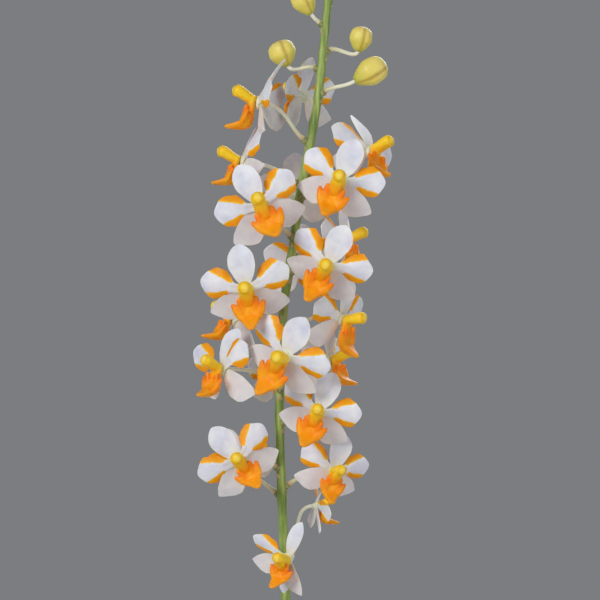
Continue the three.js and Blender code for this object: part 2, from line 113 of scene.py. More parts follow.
def surface(name, **settings):
    """A material with its shader's constant values, and the tree and shader that its pattern goes into."""
    material = bpy.data.materials.new(name)
    material.use_nodes = True
    shader = material.node_tree.nodes["Principled BSDF"]
    for key, value in settings.items():
        shader.inputs[key.replace("_", " ")].default_value = value
    return material, material.node_tree, shader


def in_scene(name, data):
    """A new object that holds a mesh, a curve, a lamp or a camera."""
    thing = bpy.data.objects.new(name, data)
    bpy.context.collection.objects.link(thing)
    return thing


def shape(points, faces, **marks):
    """Points in millimetres, faces, and named values at the points that a material reads."""
    return {"points": np.array(points, float), "faces": faces, "marks": marks, "look": 0}


def piece(name, shapes, looks, replaces):
    """Joins shapes into one mesh in metres that stands for a node of the model."""
    mesh = bpy.data.meshes.new(name)
    starts = np.cumsum([0] + [len(part["points"]) for part in shapes])
    faces = [[start + i for i in face] for start, part in zip(starts, shapes) for face in part["faces"]]
    mesh.from_pydata(np.concatenate([part["points"] for part in shapes]) * MM, [], faces)
    for key in sorted({key for part in shapes for key in part["marks"]}):
        values = [np.broadcast_to(part["marks"].get(key, 0.0), len(part["points"])) for part in shapes]
        mesh.attributes.new(key, "FLOAT", "POINT").data.foreach_set("value", np.concatenate(values))
    for look in looks:
        mesh.materials.append(look)
    numbers = [part["look"] for part in shapes for face in part["faces"]]
    mesh.polygons.foreach_set("material_index", numbers)
    mesh.polygons.foreach_set("use_smooth", [True] * len(faces))
    mesh.update()
    thing = in_scene(name, mesh)
    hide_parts(replaces)
    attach(thing, "root")
    return thing


def rounded(corners):
    """An outline whose corners, each (x, y, radius), are rounded off."""
    outline = []
    for i, (x, y, radius) in enumerate(corners):
        here = np.array((x, y), float)
        if not radius:
            outline.append(here)
            continue
        ways = [np.array(corners[j][:2]) - here for j in (i - 1, i + 1)]
        start, end = (here + way / np.linalg.norm(way) * radius for way in ways)
        for t in np.linspace(0, 1, ROUNDING_STEPS):
            outline.append((1 - t) ** 2 * start + 2 * t * (1 - t) * here + t * t * end)
    return outline


def full_turn(count):
    """Angles that go once round in even steps."""
    return np.linspace(0, 2 * math.pi, count, endpoint=False)


def turned(outline, sides, **marks):
    """A closed solid turned from an outline of (radius, height) that starts and ends on the axis."""
    turns = full_turn(sides)
    rings = [np.stack([r * np.cos(turns), r * np.sin(turns), np.full(sides, z)], 1)
             for r, z in outline[1:-1]]
    points = np.concatenate([[(0, 0, outline[0][1])], *rings, [(0, 0, outline[-1][1])]])
    faces = []
    for k in range(sides):
        after = (k + 1) % sides
        faces.append([0, 1 + after, 1 + k])
        for start in range(1, len(points) - 1 - sides, sides):
            faces.append([start + k, start + after, start + sides + after, start + sides + k])
        last = len(points) - 1
        faces.append([last, last - sides + k, last - sides + after])
    return shape(points, faces, **marks)


def pot_radius(height):
    """The radius of the pot's outside at a height."""
    return POT_FOOT_RADIUS + (POT_MOUTH_RADIUS - POT_FOOT_RADIUS) * height / POT_HEIGHT


def pot_outline():
    """Half of the pot cut through: out along its foot, up to the rim and down its inside."""
    rim_foot = POT_HEIGHT - RIM_BAND
    rim = POT_MOUTH_RADIUS + RIM_OUT
    mouth = pot_radius(POT_HEIGHT) - POT_WALL
    return rounded([
        (0, 0, 0), (POT_FOOT_RADIUS, 0, 1.6), (pot_radius(rim_foot), rim_foot, 1.2),
        (rim - 0.5, rim_foot, 1.4), (rim, POT_HEIGHT - 6, 3), (rim - 1.2, POT_HEIGHT, 2.2),
        (mouth, POT_HEIGHT, 1.8),
        (pot_radius(POT_FLOOR) - POT_WALL, POT_FLOOR, 4), (0, POT_FLOOR, 0),
    ])


def fired_clay():
    """Matt brick red in uneven patches, with pale blotches of lime, broad rings and a sandy grain."""
    material, tree, shader = surface("unglazed earthenware, thrown and fired", Roughness=0.86, IOR=1.5)
    place = add(tree, "ShaderNodeTexCoord").outputs["Object"]
    # The kiln leaves patches of tone about 25 mm across
    patches = add(tree, "ShaderNodeTexNoise", inputs={"Vector": place, "Scale": 1 / (25 * MM), "Detail": 6})
    tone = add(tree, "ShaderNodeValToRGB", inputs={"Fac": patches}, stops=[
        (0.3, "#A3573A"), (0.7, "#CC8058"), (0.5, "#B96A46")])
    # Lime dries out as a pale bloom, in blotches of 14 mm
    blotches = add(tree, "ShaderNodeTexNoise", inputs={
        "Vector": place, "Scale": 1 / (14 * MM), "Detail": 8, "Roughness": 0.65})
    lime = add(tree, "ShaderNodeMapRange", inputs={
        "Value": blotches, "From Min": 0.52, "From Max": 0.74, "To Max": 0.55})
    color = add(tree, "ShaderNodeMix", {"data_type": "RGBA"}, {"Factor_Float": lime, "A_Color": tone,
        "B_Color": linear("#DDBFA8")})
    connect(shader, {"Base Color": color})
    # Broad rings, 2 pi times 3 mm from one to the next, and a sandy grain of 0.6 mm
    waves = add(tree, "ShaderNodeTexWave", {"bands_direction": "Z"}, {
        "Vector": place, "Scale": 1 / (3 * MM) / WAVE_RADIANS, "Distortion": 1.2, "Detail": 2})
    grain = add(tree, "ShaderNodeTexNoise", inputs={"Vector": place, "Scale": 1 / (0.6 * MM), "Detail": 3})
    ringed = add(tree, "ShaderNodeBump", inputs={
        "Height": waves.outputs["Fac"], "Strength": 0.35, "Distance": 0.25 * MM})
    grainy = add(tree, "ShaderNodeBump", inputs={
        "Height": grain, "Strength": 0.5, "Distance": 0.15 * MM, "Normal": ringed})
    connect(shader, {"Normal": grainy})
    return material


def drilled(thing, centres, radius, depth):
    """Cuts round upright holes through the floor of a piece."""
    cutter_mesh = bpy.data.meshes.new("drill")
    drill = bmesh.new()
    for x, y in centres:
        bmesh.ops.create_cone(drill, cap_ends=True, segments=32, radius1=radius * MM, radius2=radius * MM,
                              depth=depth * MM, matrix=Matrix.Translation((x * MM, y * MM, 0)))
    drill.to_mesh(cutter_mesh)
    drill.free()
    cutter = in_scene("drill", cutter_mesh)
    cut = thing.modifiers.new("drain holes", "BOOLEAN")
    cut.operation = "DIFFERENCE"
    cut.object = cutter
    keep_evaluated(thing)
    bpy.data.objects.remove(cutter)


def keep_evaluated(thing):
    """Keeps what the modifiers of an object make of it as its own plain mesh."""
    depsgraph = bpy.context.evaluated_depsgraph_get()
    mesh = bpy.data.meshes.new_from_object(thing.evaluated_get(depsgraph), depsgraph=depsgraph)
    thing.modifiers.clear()
    thing.data = mesh


pot = piece("terracotta_pot", [turned(pot_outline(), POT_SIDES)], [fired_clay()], "pot")
turns = [2 * math.pi * (i + 0.5) / DRAINS for i in range(DRAINS)]
drains = [(DRAIN_RING_RADIUS * math.cos(turn), DRAIN_RING_RADIUS * math.sin(turn)) for turn in turns]
drilled(pot, drains, DRAIN_RADIUS, 4 * POT_FLOOR)


# Potting bark: broken chunks of fir bark, packed loosely round the roots to a finger's width below the rim.
# Each chunk is layered like cork, reddish brown where it is freshly broken and greyer where it is old.
BARK_TOP = 86.5
FILL_GAP = 0.4
CHUNK_SIZE = (13, 9, 5)
CHUNK_UNEVEN = (1, 1, 0.4)
CHUNK_CORNER_LOSS = 0.2
CHUNK_KINDS = 6
CHUNK_SPACING = 5.2
CHUNK_TILT = 0.45
SCATTER_RADIUS = 43
SCATTER_SIDES = 48


def bark_chunk(number):
    """One broken chunk: a block with its corners knocked off unevenly."""
    draw = random.Random(number)
    mesh = bpy.data.meshes.new(f"chunk {number}")
    block = bmesh.new()
    bmesh.ops.create_cube(block, size=1)
    bmesh.ops.subdivide_edges(block, edges=block.edges[:], cuts=2, use_grid_fill=True)
    for vert in block.verts:
        outer_sides = sum(abs(c) > 0.45 for c in vert.co)
        vert.co *= 1 - CHUNK_CORNER_LOSS * outer_sides + draw.uniform(-0.1, 0.1)
        for axis, (size, uneven) in enumerate(zip(CHUNK_SIZE, CHUNK_UNEVEN)):
            vert.co[axis] = vert.co[axis] * size * MM + draw.uniform(-uneven, uneven) * MM
    block.to_mesh(mesh)
    block.free()
    layers = mesh.attributes.new("layer", "FLOAT", "POINT")
    layers.data.foreach_set("value", [vert.co.z / MM for vert in mesh.vertices])
    return bpy.data.objects.new(f"chunk {number}", mesh)


def opened_tree(name, **inputs):
    """A tree that will make geometry, and the sockets that give what its named inputs hold."""
    tree = bpy.data.node_groups.new(name, "GeometryNodeTree")
    for key, kind in inputs.items():
        tree.interface.new_socket(key, in_out="INPUT", socket_type=f"NodeSocket{kind}")
    tree.interface.new_socket("Geometry", in_out="OUTPUT", socket_type="NodeSocketGeometry")
    return tree, add(tree, "NodeGroupInput").outputs


def closed_tree(tree, made, material):
    """The tree, ended by making its geometry real and putting the material on it."""
    solid = add(tree, "GeometryNodeRealizeInstances", inputs={"Geometry": made})
    finished = add(tree, "GeometryNodeSetMaterial", inputs={"Geometry": solid, "Material": material})
    add(tree, "NodeGroupOutput", inputs={"Geometry": finished})
    return tree


def scatter_tree():
    """Chunks of several kinds strewn over a surface, each turned and sized by chance."""
    tree, given = opened_tree(
        "strewn bark", Geometry="Geometry", Chunks="Collection", Spacing="Float", Bark="Material")
    # The spacing decides how many chunks there are, because the density allows far more
    spots = add(tree, "GeometryNodeDistributePointsOnFaces", {"distribute_method": "POISSON"}, {
        "Mesh": given["Geometry"], "Distance Min": given["Spacing"], "Density Max": 60000, "Seed": 4})
    chunks = add(tree, "GeometryNodeCollectionInfo", inputs={
        "Collection": given["Chunks"], "Separate Children": True, "Reset Children": True})
    turn = add(tree, "FunctionNodeRandomValue", {"data_type": "FLOAT_VECTOR"}, {
        "Min": (-CHUNK_TILT, -CHUNK_TILT, 0), "Max": (CHUNK_TILT, CHUNK_TILT, 6.28), "Seed": 9})
    size = add(tree, "FunctionNodeRandomValue", {"data_type": "FLOAT"}, {
        "Min_001": 0.5, "Max_001": 1.0, "Seed": 5})
    placed = add(tree, "GeometryNodeInstanceOnPoints", inputs={
        "Points": spots, "Instance": chunks, "Pick Instance": True,
        "Rotation": turn, "Scale": size})
    shade = add(tree, "FunctionNodeRandomValue", {"data_type": "FLOAT"}, {"Seed": 2})
    marked = add(tree, "GeometryNodeStoreNamedAttribute", {"data_type": "FLOAT", "domain": "INSTANCE"}, {
        "Geometry": placed, "Name": "age", "Value": shade})
    return closed_tree(tree, marked, given["Bark"])


def give(modifier, **values):
    """Sets the named inputs of a modifier's tree."""
    sockets = {item.name: item.identifier for item in modifier.node_group.interface.items_tree
               if item.in_out == "INPUT"}
    for name, value in values.items():
        modifier[sockets[name]] = value


def marks_of(tree, *names):
    """The named values that a piece's points hold, each ready for a node."""
    return [add(tree, "ShaderNodeAttribute", {"attribute_name": name}).outputs["Fac"] for name in names]


def layered_bark():
    """Reddish brown where the bark is fresh and grey where it is old, in dark and light cork layers."""
    material, tree, shader = surface("fir bark, broken and dried", Roughness=0.92, IOR=1.45)
    place = add(tree, "ShaderNodeTexCoord").outputs["Object"]
    age, layer = marks_of(tree, "age", "layer")
    # The layers follow the chunk's flat side and wander by a noise of 4 mm
    wander = add(tree, "ShaderNodeTexNoise", inputs={"Vector": place, "Scale": 1 / (4 * MM), "Detail": 5})
    shifted = add(tree, "ShaderNodeMath", {"operation": "MULTIPLY_ADD"}, {
        "Value": wander, "Value_001": 9.0, "Value_002": layer})
    waves = add(tree, "ShaderNodeMath", {"operation": "SINE"}, {"Value": shifted})
    bands = add(tree, "ShaderNodeMapRange", inputs={"Value": waves, "From Min": -1, "From Max": 1})
    fresh = add(tree, "ShaderNodeValToRGB", inputs={"Fac": bands}, stops=[
        (0.1, "#3E2318"), (0.9, "#A26A45"), (0.5, "#74442B")])
    old = add(tree, "ShaderNodeValToRGB", inputs={"Fac": bands}, stops=[
        (0.1, "#33271F"), (0.9, "#8A7A68"), (0.5, "#5E4C3E")])
    color = add(tree, "ShaderNodeMix", {"data_type": "RGBA"}, {
        "Factor_Float": age, "A_Color": fresh, "B_Color": old})
    connect(shader, {"Base Color": color})
    rough = add(tree, "ShaderNodeBump", inputs={"Height": bands, "Strength": 0.7, "Distance": 0.4 * MM})
    connect(shader, {"Normal": rough})
    return material


def fill_outline():
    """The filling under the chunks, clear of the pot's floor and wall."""
    inset = POT_WALL + FILL_GAP
    bottom = POT_FLOOR + FILL_GAP
    return [(0, bottom), (pot_radius(POT_FLOOR) - inset, bottom),
            (pot_radius(BARK_TOP) - inset, BARK_TOP - 2), (30, BARK_TOP - 1.5), (12, BARK_TOP - 1),
            (0, BARK_TOP)]


bark = layered_bark()
chunk_kinds = bpy.data.collections.new("bark chunks")
for number in range(CHUNK_KINDS):
    chunk_kinds.objects.link(bark_chunk(number))
field = bpy.data.meshes.new("field")
rim = [(SCATTER_RADIUS * MM * math.cos(t), SCATTER_RADIUS * MM * math.sin(t), BARK_TOP * MM)
       for t in full_turn(SCATTER_SIDES)]
field.from_pydata(rim, [], [list(range(SCATTER_SIDES))])
strewn = in_scene("strewn", field)
strewing = strewn.modifiers.new("strewn bark", "NODES")
strewing.node_group = scatter_tree()
give(strewing, Chunks=chunk_kinds, Spacing=CHUNK_SPACING * MM, Bark=bark)
keep_evaluated(strewn)
packed = turned(fill_outline(), SCATTER_SIDES, layer=0.0, age=0.5)
fill = piece("potting_bark_chips", [packed], [bark], "potting_bark")


def joined(things):
    """The first of several objects, which takes in the meshes of the others."""
    with bpy.context.temp_override(active_object=things[0], selected_editable_objects=things):
        bpy.ops.object.join()
    return things[0]


joined([fill, strewn])
for chunk in list(chunk_kinds.objects):
    bpy.data.objects.remove(chunk)
bpy.data.collections.remove(chunk_kinds)


# Stem and roots: a short upright stem hidden in two rows of folded leaf sheaths, with thick roots
# that creep over the bark, one of them over the rim. A living root is wrapped in dry spongy velamen,
# silvery grey with green showing through, and its growing tip is bare and green.
# The stem's heights, with half its width and depth at each
STEM = [[62, 6, 6], [96, 6, 6], [102, 7.5, 5], [130, 6, 4.5], [136, 2.6, 1.75]]
STEM_ROWS = 190
STEM_SIDES = 48
SHEATH_REACH = 15
SHEATH_DEEP = 3
SHEATH_FOOT = 5
SHEATH_SWELL = 1.1
SHEATH_ROWS = 12
SHEATH_SIDES = 32
LEAF_FOLD = 0.22
KNOB_RADIUS = 2.6
KNOB_NARROWING = 0.35
KNOB_ROWS = 14
KNOB_DROP = 12
KNOB_BEND = 7
OLD_SHEATHS = 8
OLD_SHEATH_START = 95
OLD_SHEATH_STEP = 6
OLD_SHEATH_SLANT = 1.8
OLD_SHEATH_FLARE = 0.09
# Blades, stalks and spike reach this far into what carries them, so that no seam shows
SEAT_DEPTH = 0.5
ROOT_STEPS = 12
ROOT_SIDES = 16
ROOT_TAPER = 0.3
ROOT_TIP = 0.06
ROOT_RIPPLE = 0.07
# Each root: its radius, and its way over the bark
ROOTS = [
    (2.6, [(0, 0, 96), (-11, -9, 98), (-22, -17, 94.5), (-33, -19, 92.5), (-41, -9, 92.3), (-42, 4, 92.3)]),
    (2.4, [(0, 0, 97), (12, -7, 99.5), (23, -12, 95.5), (31, -18, 92.8), (34, -25, 92.4), (31, -32, 92.3)]),
    (2.3, [(0, 0, 96), (9, 11, 97), (16, 25, 93), (4, 37, 92.2), (-13, 40, 92.2)]),
    (2.5, [(0, 0, 101), (22, 16, 108), (43, 33, 114), (54, 42, 101), (56, 44, 78), (51, 43, 55)]),
    (2.2, [(0, 0, 97), (-14, 9, 98), (-28, 20, 93), (-38, 23, 92.3)]),
]
# Each leaf: the way it points round the stem, the height of its foot, its size, and how steeply it
# rises where it starts and where it ends
LEAVES = [
    {"azimuth": 196, "height": 98, "length": 165, "half_width": 14, "start": 42, "end": -28},
    {"azimuth": 14, "height": 104, "length": 175, "half_width": 14.5, "start": 46, "end": -20},
    {"azimuth": 200, "height": 113, "length": 170, "half_width": 14, "start": 58, "end": -4},
    {"azimuth": 18, "height": 121, "length": 150, "half_width": 13, "start": 66, "end": 8},
    {"azimuth": 204, "height": 130, "length": 110, "half_width": 11, "start": 76, "end": 34},
]
# Places along a blade, each with the share of its full width there
LEAF_STATIONS = [
    (0, 0.45), (0.12, 0.72), (0.26, 0.92), (0.4, 1), (0.55, 1), (0.7, 0.97), (0.84, 0.88), (0.93, 0.7),
    (1, 0.4),
]
# Points along the spike, each with the spike's radius there
SPIKE = [
    (7, -8.5, 118, 2.1), (8.5, -10, 134, 2.1), (7, -8, 175, 2), (3, -3, 235, 1.8), (0.3, 0, 300, 1.6),
    (-1, 0, 335, 1.5), (-1.8, 0, 362, 1.5), (-0.7, 0, 395, 1.45), (2.8, 0, 419, 1.45), (5.2, 0, 436, 1.4),
    (10.8, 0, 466, 1.4), (14.2, 0, 498, 1.25), (17.5, 0, 522, 1), (20, 0, 544, 0.7),
]
SPIKE_STEPS = 24


def unit(vector):
    """A vector's direction, one long."""
    return vector / np.linalg.norm(vector)


def flowing(stations):
    """A smooth curve through (place, value) stations that never swings past them."""
    x, y = (np.array(column, float) for column in zip(*stations))
    secants = np.diff(y) / np.diff(x)
    slopes = np.concatenate([secants[:1], np.zeros(len(x) - 2), secants[-1:]])
    for i in range(1, len(x) - 1):
        if secants[i - 1] * secants[i] > 0:
            slopes[i] = 2 * secants[i - 1] * secants[i] / (secants[i - 1] + secants[i])

    def value(place):
        place = np.clip(place, x[0], x[-1])
        i = np.clip(np.searchsorted(x, place, side="right") - 1, 0, len(x) - 2)
        span = x[i + 1] - x[i]
        t = (place - x[i]) / span
        return ((1 + 2 * t) * (1 - t) ** 2 * y[i] + t * (1 - t) ** 2 * span * slopes[i]
                + t * t * (3 - 2 * t) * y[i + 1] + t * t * (t - 1) * span * slopes[i + 1])
    return value


def through(stops, steps):
    """Points along a smooth route through its stops, evenly spaced between each two of them."""
    stops = [np.array(stop, float) for stop in stops]
    stops = [2 * stops[0] - stops[1], *stops, 2 * stops[-1] - stops[-2]]
    route = []
    for p0, p1, p2, p3 in zip(stops, stops[1:], stops[2:], stops[3:]):
        d0, d1, d2 = (np.linalg.norm((b - a)[:3]) ** 0.5 for a, b in ((p0, p1), (p1, p2), (p2, p3)))
        m1 = ((p1 - p0) / d0 - (p2 - p0) / (d0 + d1) + (p2 - p1) / d1) * d1
        m2 = ((p2 - p1) / d1 - (p3 - p1) / (d1 + d2) + (p3 - p2) / d2) * d1
        for t in np.linspace(0, 1, steps, endpoint=False):
            route.append((1 + 2 * t) * (1 - t) ** 2 * p1 + t * (1 - t) ** 2 * m1
                         + t * t * (3 - 2 * t) * p2 + t * t * (t - 1) * m2)
    return np.array([*route, stops[-2]])


def strand_tree():
    """A fleshy strand: rings round a path, as thick as the path says, closed at both ends."""
    tree, given = opened_tree("fleshy strand", Geometry="Geometry", Sides="Int", Flesh="Material")
    reach = add(tree, "GeometryNodeSplineParameter")
    marked = add(tree, "GeometryNodeStoreNamedAttribute", {"data_type": "FLOAT", "domain": "POINT"}, {
        "Geometry": given["Geometry"], "Name": "along", "Value": reach})
    ring = add(tree, "GeometryNodeCurvePrimitiveCircle", inputs={
        "Resolution": given["Sides"], "Radius": 1.0})
    thick = add(tree, "GeometryNodeInputRadius")
    skin = add(tree, "GeometryNodeCurveToMesh", inputs={
        "Curve": marked, "Profile Curve": ring, "Scale": thick, "Fill Caps": True})
    return closed_tree(tree, skin, given["Flesh"])


strand_nodes = strand_tree()


def shape_of(mesh, **marks):
    """The shape that a mesh in millimetres holds."""
    points = np.empty(3 * len(mesh.vertices))
    mesh.vertices.foreach_get("co", points)
    return shape(points.reshape(-1, 3), [list(face.vertices) for face in mesh.polygons], **marks)


def strand(path, radii, sides):
    """The shape of a fleshy strand along a path; its points know how far along they are."""
    curve = bpy.data.curves.new("strand", "CURVE")
    curve.dimensions = "3D"
    spline = curve.splines.new("POLY")
    spline.points.add(len(path) - 1)
    spline.points.foreach_set("co", np.column_stack([path, np.ones(len(path))]).ravel())
    spline.points.foreach_set("radius", np.array(radii, float))
    grown = in_scene("strand", curve)
    growing = grown.modifiers.new("fleshy strand", "NODES")
    growing.node_group = strand_nodes
    give(growing, Sides=sides)
    depsgraph = bpy.context.evaluated_depsgraph_get()
    mesh = bpy.data.meshes.new_from_object(grown.evaluated_get(depsgraph), depsgraph=depsgraph)
    along = np.empty(len(mesh.vertices))
    mesh.attributes["along"].data.foreach_get("value", along)
    made = shape_of(mesh, along=along)
    bpy.data.objects.remove(grown)
    bpy.data.meshes.remove(mesh)
    return made


def blunt(count, radius, taper, tip, ripple, seed):
    """Radii along a strand: a slow taper, small ripples and a rounded tip."""
    share = np.linspace(0, 1, count)
    draw = random.Random(seed)
    phases = [draw.uniform(0, 6.28) for _ in range(3)]
    waves = sum(np.sin(share * f + p) for f, p in zip((17, 31, 53), phases)) * ripple / 3
    end = np.sqrt(np.clip(1 - np.clip((share - 1 + tip) / tip, 0, 1) ** 2, 0.0025, 1))
    return radius * (1 - taper * share ** 3) * (1 + waves) * end


def look(part, number):
    """The same shape, finished with the material of that number on its piece."""
    part["look"] = number
    return part


def root_shape(number, radius, route):
    """One root along its way over the bark, finished with the second material of the piece."""
    path = through(route, ROOT_STEPS)
    radii = blunt(len(path), radius, ROOT_TAPER, ROOT_TIP, ROOT_RIPPLE, number)
    return look(strand(path, radii, ROOT_SIDES), 1)


def rings_shape(rings, **marks):
    """A closed skin over rings of points, with a flat cap on each end."""
    rings = np.array(rings, float)
    rows, count = rings.shape[:2]
    faces = []
    for i in range(rows - 1):
        for k in range(count):
            after = (k + 1) % count
            faces.append([i * count + k, i * count + after, (i + 1) * count + after, (i + 1) * count + k])
    faces.append(list(reversed(range(count))))
    faces.append([(rows - 1) * count + k for k in range(count)])
    return shape(rings.reshape(-1, 3), faces, **marks)


def risen(outward, degrees):
    """A level direction tilted up by so many degrees."""
    turn = math.radians(degrees)
    return np.array([outward[0] * math.cos(turn), outward[1] * math.cos(turn), math.sin(turn)])


def leaf_frame(leaf):
    """Outward and across a leaf, its foot on the stem, and the way it starts."""
    turn = math.radians(leaf["azimuth"])
    outward = np.array([math.cos(turn), math.sin(turn), 0])
    across = np.array([math.sin(turn), -math.cos(turn), 0])
    return outward, across, np.array([0, 0, leaf["height"]]), risen(outward, leaf["start"])


def sheath_shape(leaf):
    """The folded base that clasps the stem, from its round foot to the joint where the blade begins."""
    _, across, foot, along = leaf_frame(leaf)
    up = np.cross(across, along)
    turns = full_turn(SHEATH_SIDES)
    blade_wide = leaf["half_width"] * LEAF_STATIONS[0][1] + 0.4
    rings = []
    for share in np.linspace(0, 1, SHEATH_ROWS):
        swell = SHEATH_SWELL * math.sin(math.pi * share) ** 0.8
        wide = SHEATH_FOOT + (blade_wide - SHEATH_FOOT) * share + swell
        fold = LEAF_FOLD * wide * share
        side = wide * np.cos(turns)
        lift = (SHEATH_DEEP * (1 - 0.66 * share)) * np.sin(turns) + fold * (np.abs(np.cos(turns)) - 0.5)
        ring = foot + along * SHEATH_REACH * share + np.outer(side, across) + np.outer(lift, up)
        rings.append(ring[::-1])
    return rings_shape(rings, along=np.repeat(np.linspace(0.5, 1, SHEATH_ROWS), SHEATH_SIDES))


def stem_shape():
    """The stem, wrapped in the stubs of old sheaths, whose rims slant by turns to the left and right."""
    heights = np.linspace(STEM[0][0], STEM[-1][0], STEM_ROWS)
    wide = flowing([(z, w) for z, w, _ in STEM])(heights)
    deep = flowing([(z, d) for z, _, d in STEM])(heights)
    turns = full_turn(STEM_SIDES)
    rims = np.array([OLD_SHEATH_START + OLD_SHEATH_STEP * i + OLD_SHEATH_SLANT * (-1) ** i * np.sin(turns)
                     for i in range(OLD_SHEATHS)])
    rings = []
    for z, w, d in zip(heights, wide, deep):
        to_rim = np.where(rims > z, rims - z, math.inf).min(0)
        flare = 1 + OLD_SHEATH_FLARE * np.clip(1 - to_rim / OLD_SHEATH_STEP, 0, 1) ** 1.5
        level = np.full(STEM_SIDES, z)
        rings.append(np.stack([w * flare * np.sin(turns), -d * flare * np.cos(turns), level], 1))
    return rings_shape(rings, along=np.repeat(np.linspace(0, 1, STEM_ROWS), STEM_SIDES))


spike_path = through(SPIKE, SPIKE_STEPS)


def spike_knob():
    """The stub beside the stem that the spike grew out of."""
    seat = spike_path[0][:3]
    along = unit(spike_path[1][:3] - seat)
    seat = seat + along * SEAT_DEPTH
    root = np.array([0, 0, seat[2] - KNOB_DROP])
    bend = seat - along * KNOB_BEND
    share = np.linspace(0, 1, KNOB_ROWS)[:, None]
    path = (1 - share) ** 2 * root + 2 * share * (1 - share) * bend + share ** 2 * seat
    return strand(path, KNOB_RADIUS - KNOB_NARROWING * share[:, 0] ** 6, 20)


def sheath_skin():
    """Dry and brown at the stem's foot, green towards the blades, with low ribs."""
    material, tree, shader = surface("leaf sheath, fleshy and ribbed", Roughness=0.5, IOR=1.42)
    place = add(tree, "ShaderNodeTexCoord").outputs["Object"]
    [along] = marks_of(tree, "along")
    # A mottle of 6 mm breaks up the change from brown to green
    mottle = add(tree, "ShaderNodeTexNoise", inputs={"Vector": place, "Scale": 1 / (6 * MM), "Detail": 4})
    mixed = add(tree, "ShaderNodeMath", {"operation": "MULTIPLY_ADD"}, {
        "Value": mottle, "Value_001": 0.45, "Value_002": along})
    color = add(tree, "ShaderNodeValToRGB", inputs={"Fac": mixed}, stops=[
        (0.42, "#92855A"), (1.0, "#52793A"), (0.66, "#6F8A4A")])
    connect(shader, {"Base Color": color})
    ribs = add(tree, "ShaderNodeTexWave", {"bands_direction": "Y"}, {
        "Vector": place, "Scale": 1 / (1.2 * MM) / WAVE_RADIANS, "Distortion": 0.6}).outputs["Fac"]
    relief = add(tree, "ShaderNodeBump", inputs={"Height": ribs, "Strength": 0.25, "Distance": 0.2 * MM})
    connect(shader, {"Normal": relief})
    return material


def velamen():
    """Silvery and rough, with green showing through, and bare green at the growing tip."""
    material, tree, shader = surface("velamen, dry and spongy", Roughness=0.8, IOR=1.4)
    place = add(tree, "ShaderNodeTexCoord").outputs["Object"]
    [along] = marks_of(tree, "along")
    # Thin places of 3 mm let the green under the velamen show
    thin = add(tree, "ShaderNodeTexNoise", inputs={"Vector": place, "Scale": 1 / (3 * MM), "Detail": 7})
    silver = add(tree, "ShaderNodeValToRGB", inputs={"Fac": thin}, stops=[
        (0.32, "#93A070"), (0.62, "#CFD0C0"), (0.47, "#B4B99E")])
    tip = add(tree, "ShaderNodeMapRange", inputs={"Value": along, "From Min": 0.9, "From Max": 0.955})
    color = add(tree, "ShaderNodeMix", {"data_type": "RGBA"}, {"Factor_Float": tip, "A_Color": silver,
        "B_Color": linear("#86A545")})
    connect(shader, {"Base Color": color})
    relief = add(tree, "ShaderNodeBump", inputs={"Height": thin, "Strength": 0.6, "Distance": 0.3 * MM})
    connect(shader, {"Normal": relief})
    return material


stem_parts = [stem_shape(), *map(sheath_shape, LEAVES), spike_knob()]
stem_parts += [root_shape(number, radius, route) for number, (radius, route) in enumerate(ROOTS)]
piece("stem_and_aerial_roots", stem_parts, [sheath_skin(), velamen()], "stem_and_roots")


# Leaves: five thick leathery straps in two rows, folded along the midrib, each ending in two uneven
# lobes. The upper face is glossy mid green with a sunken pale midrib and faint veins along it, and
# the underside is paler.
LEAF_JOINTS = [0, 0.12, 0.26, 0.4, 0.55, 0.7, 0.84, 0.95, 1]
LEAF_DROOP = 1.3
LEAF_THICKNESS = 1.8
MIDRIB_GROOVE = 0.45
MIDRIB_KEEL = 0.5
LEAF_WAVE = 0.5
LEAF_ROWS = 64
LEAF_COLUMNS = 20


def edge_crowded(columns):
    """Places from -1 to 1 across a blade, closer together towards its edges."""
    return np.sin(np.linspace(-1, 1, columns + 1) * math.pi / 2)


def thin_blade(us, vs, place, under, **marks):
    """A closed blade: a grid of points doubled to two faces that meet at the sides.

    place(u, v) gives the upper face, and under(u, v) how far the lower face lies from it.
    """
    u, v = np.meshgrid(us, vs, indexing="ij")
    upper = place(u, v)
    lower = upper - under(u, v)
    rows, columns = u.shape
    top = np.arange(rows * columns).reshape(rows, columns)
    bottom = top + rows * columns
    faces = []
    for i in range(rows - 1):
        for j in range(columns - 1):
            faces.append([top[i, j], top[i, j + 1], top[i + 1, j + 1], top[i + 1, j]])
            faces.append([bottom[i, j], bottom[i + 1, j], bottom[i + 1, j + 1], bottom[i, j + 1]])
        faces.append([top[i, 0], top[i + 1, 0], bottom[i + 1, 0], bottom[i, 0]])
        faces.append([top[i, -1], bottom[i, -1], bottom[i + 1, -1], top[i + 1, -1]])
    for j in range(columns - 1):
        faces.append([top[0, j], bottom[0, j], bottom[0, j + 1], top[0, j + 1]])
        faces.append([top[-1, j], top[-1, j + 1], bottom[-1, j + 1], bottom[-1, j]])
    points = np.concatenate([upper.reshape(-1, 3), lower.reshape(-1, 3)])
    both = {key: np.tile(np.broadcast_to(value(u, v), u.shape).ravel(), 2) for key, value in marks.items()}
    made = shape(points, [[int(k) for k in face] for face in faces], **both)
    made["marks"]["back"] = np.repeat([0.0, 1.0], rows * columns)
    return made


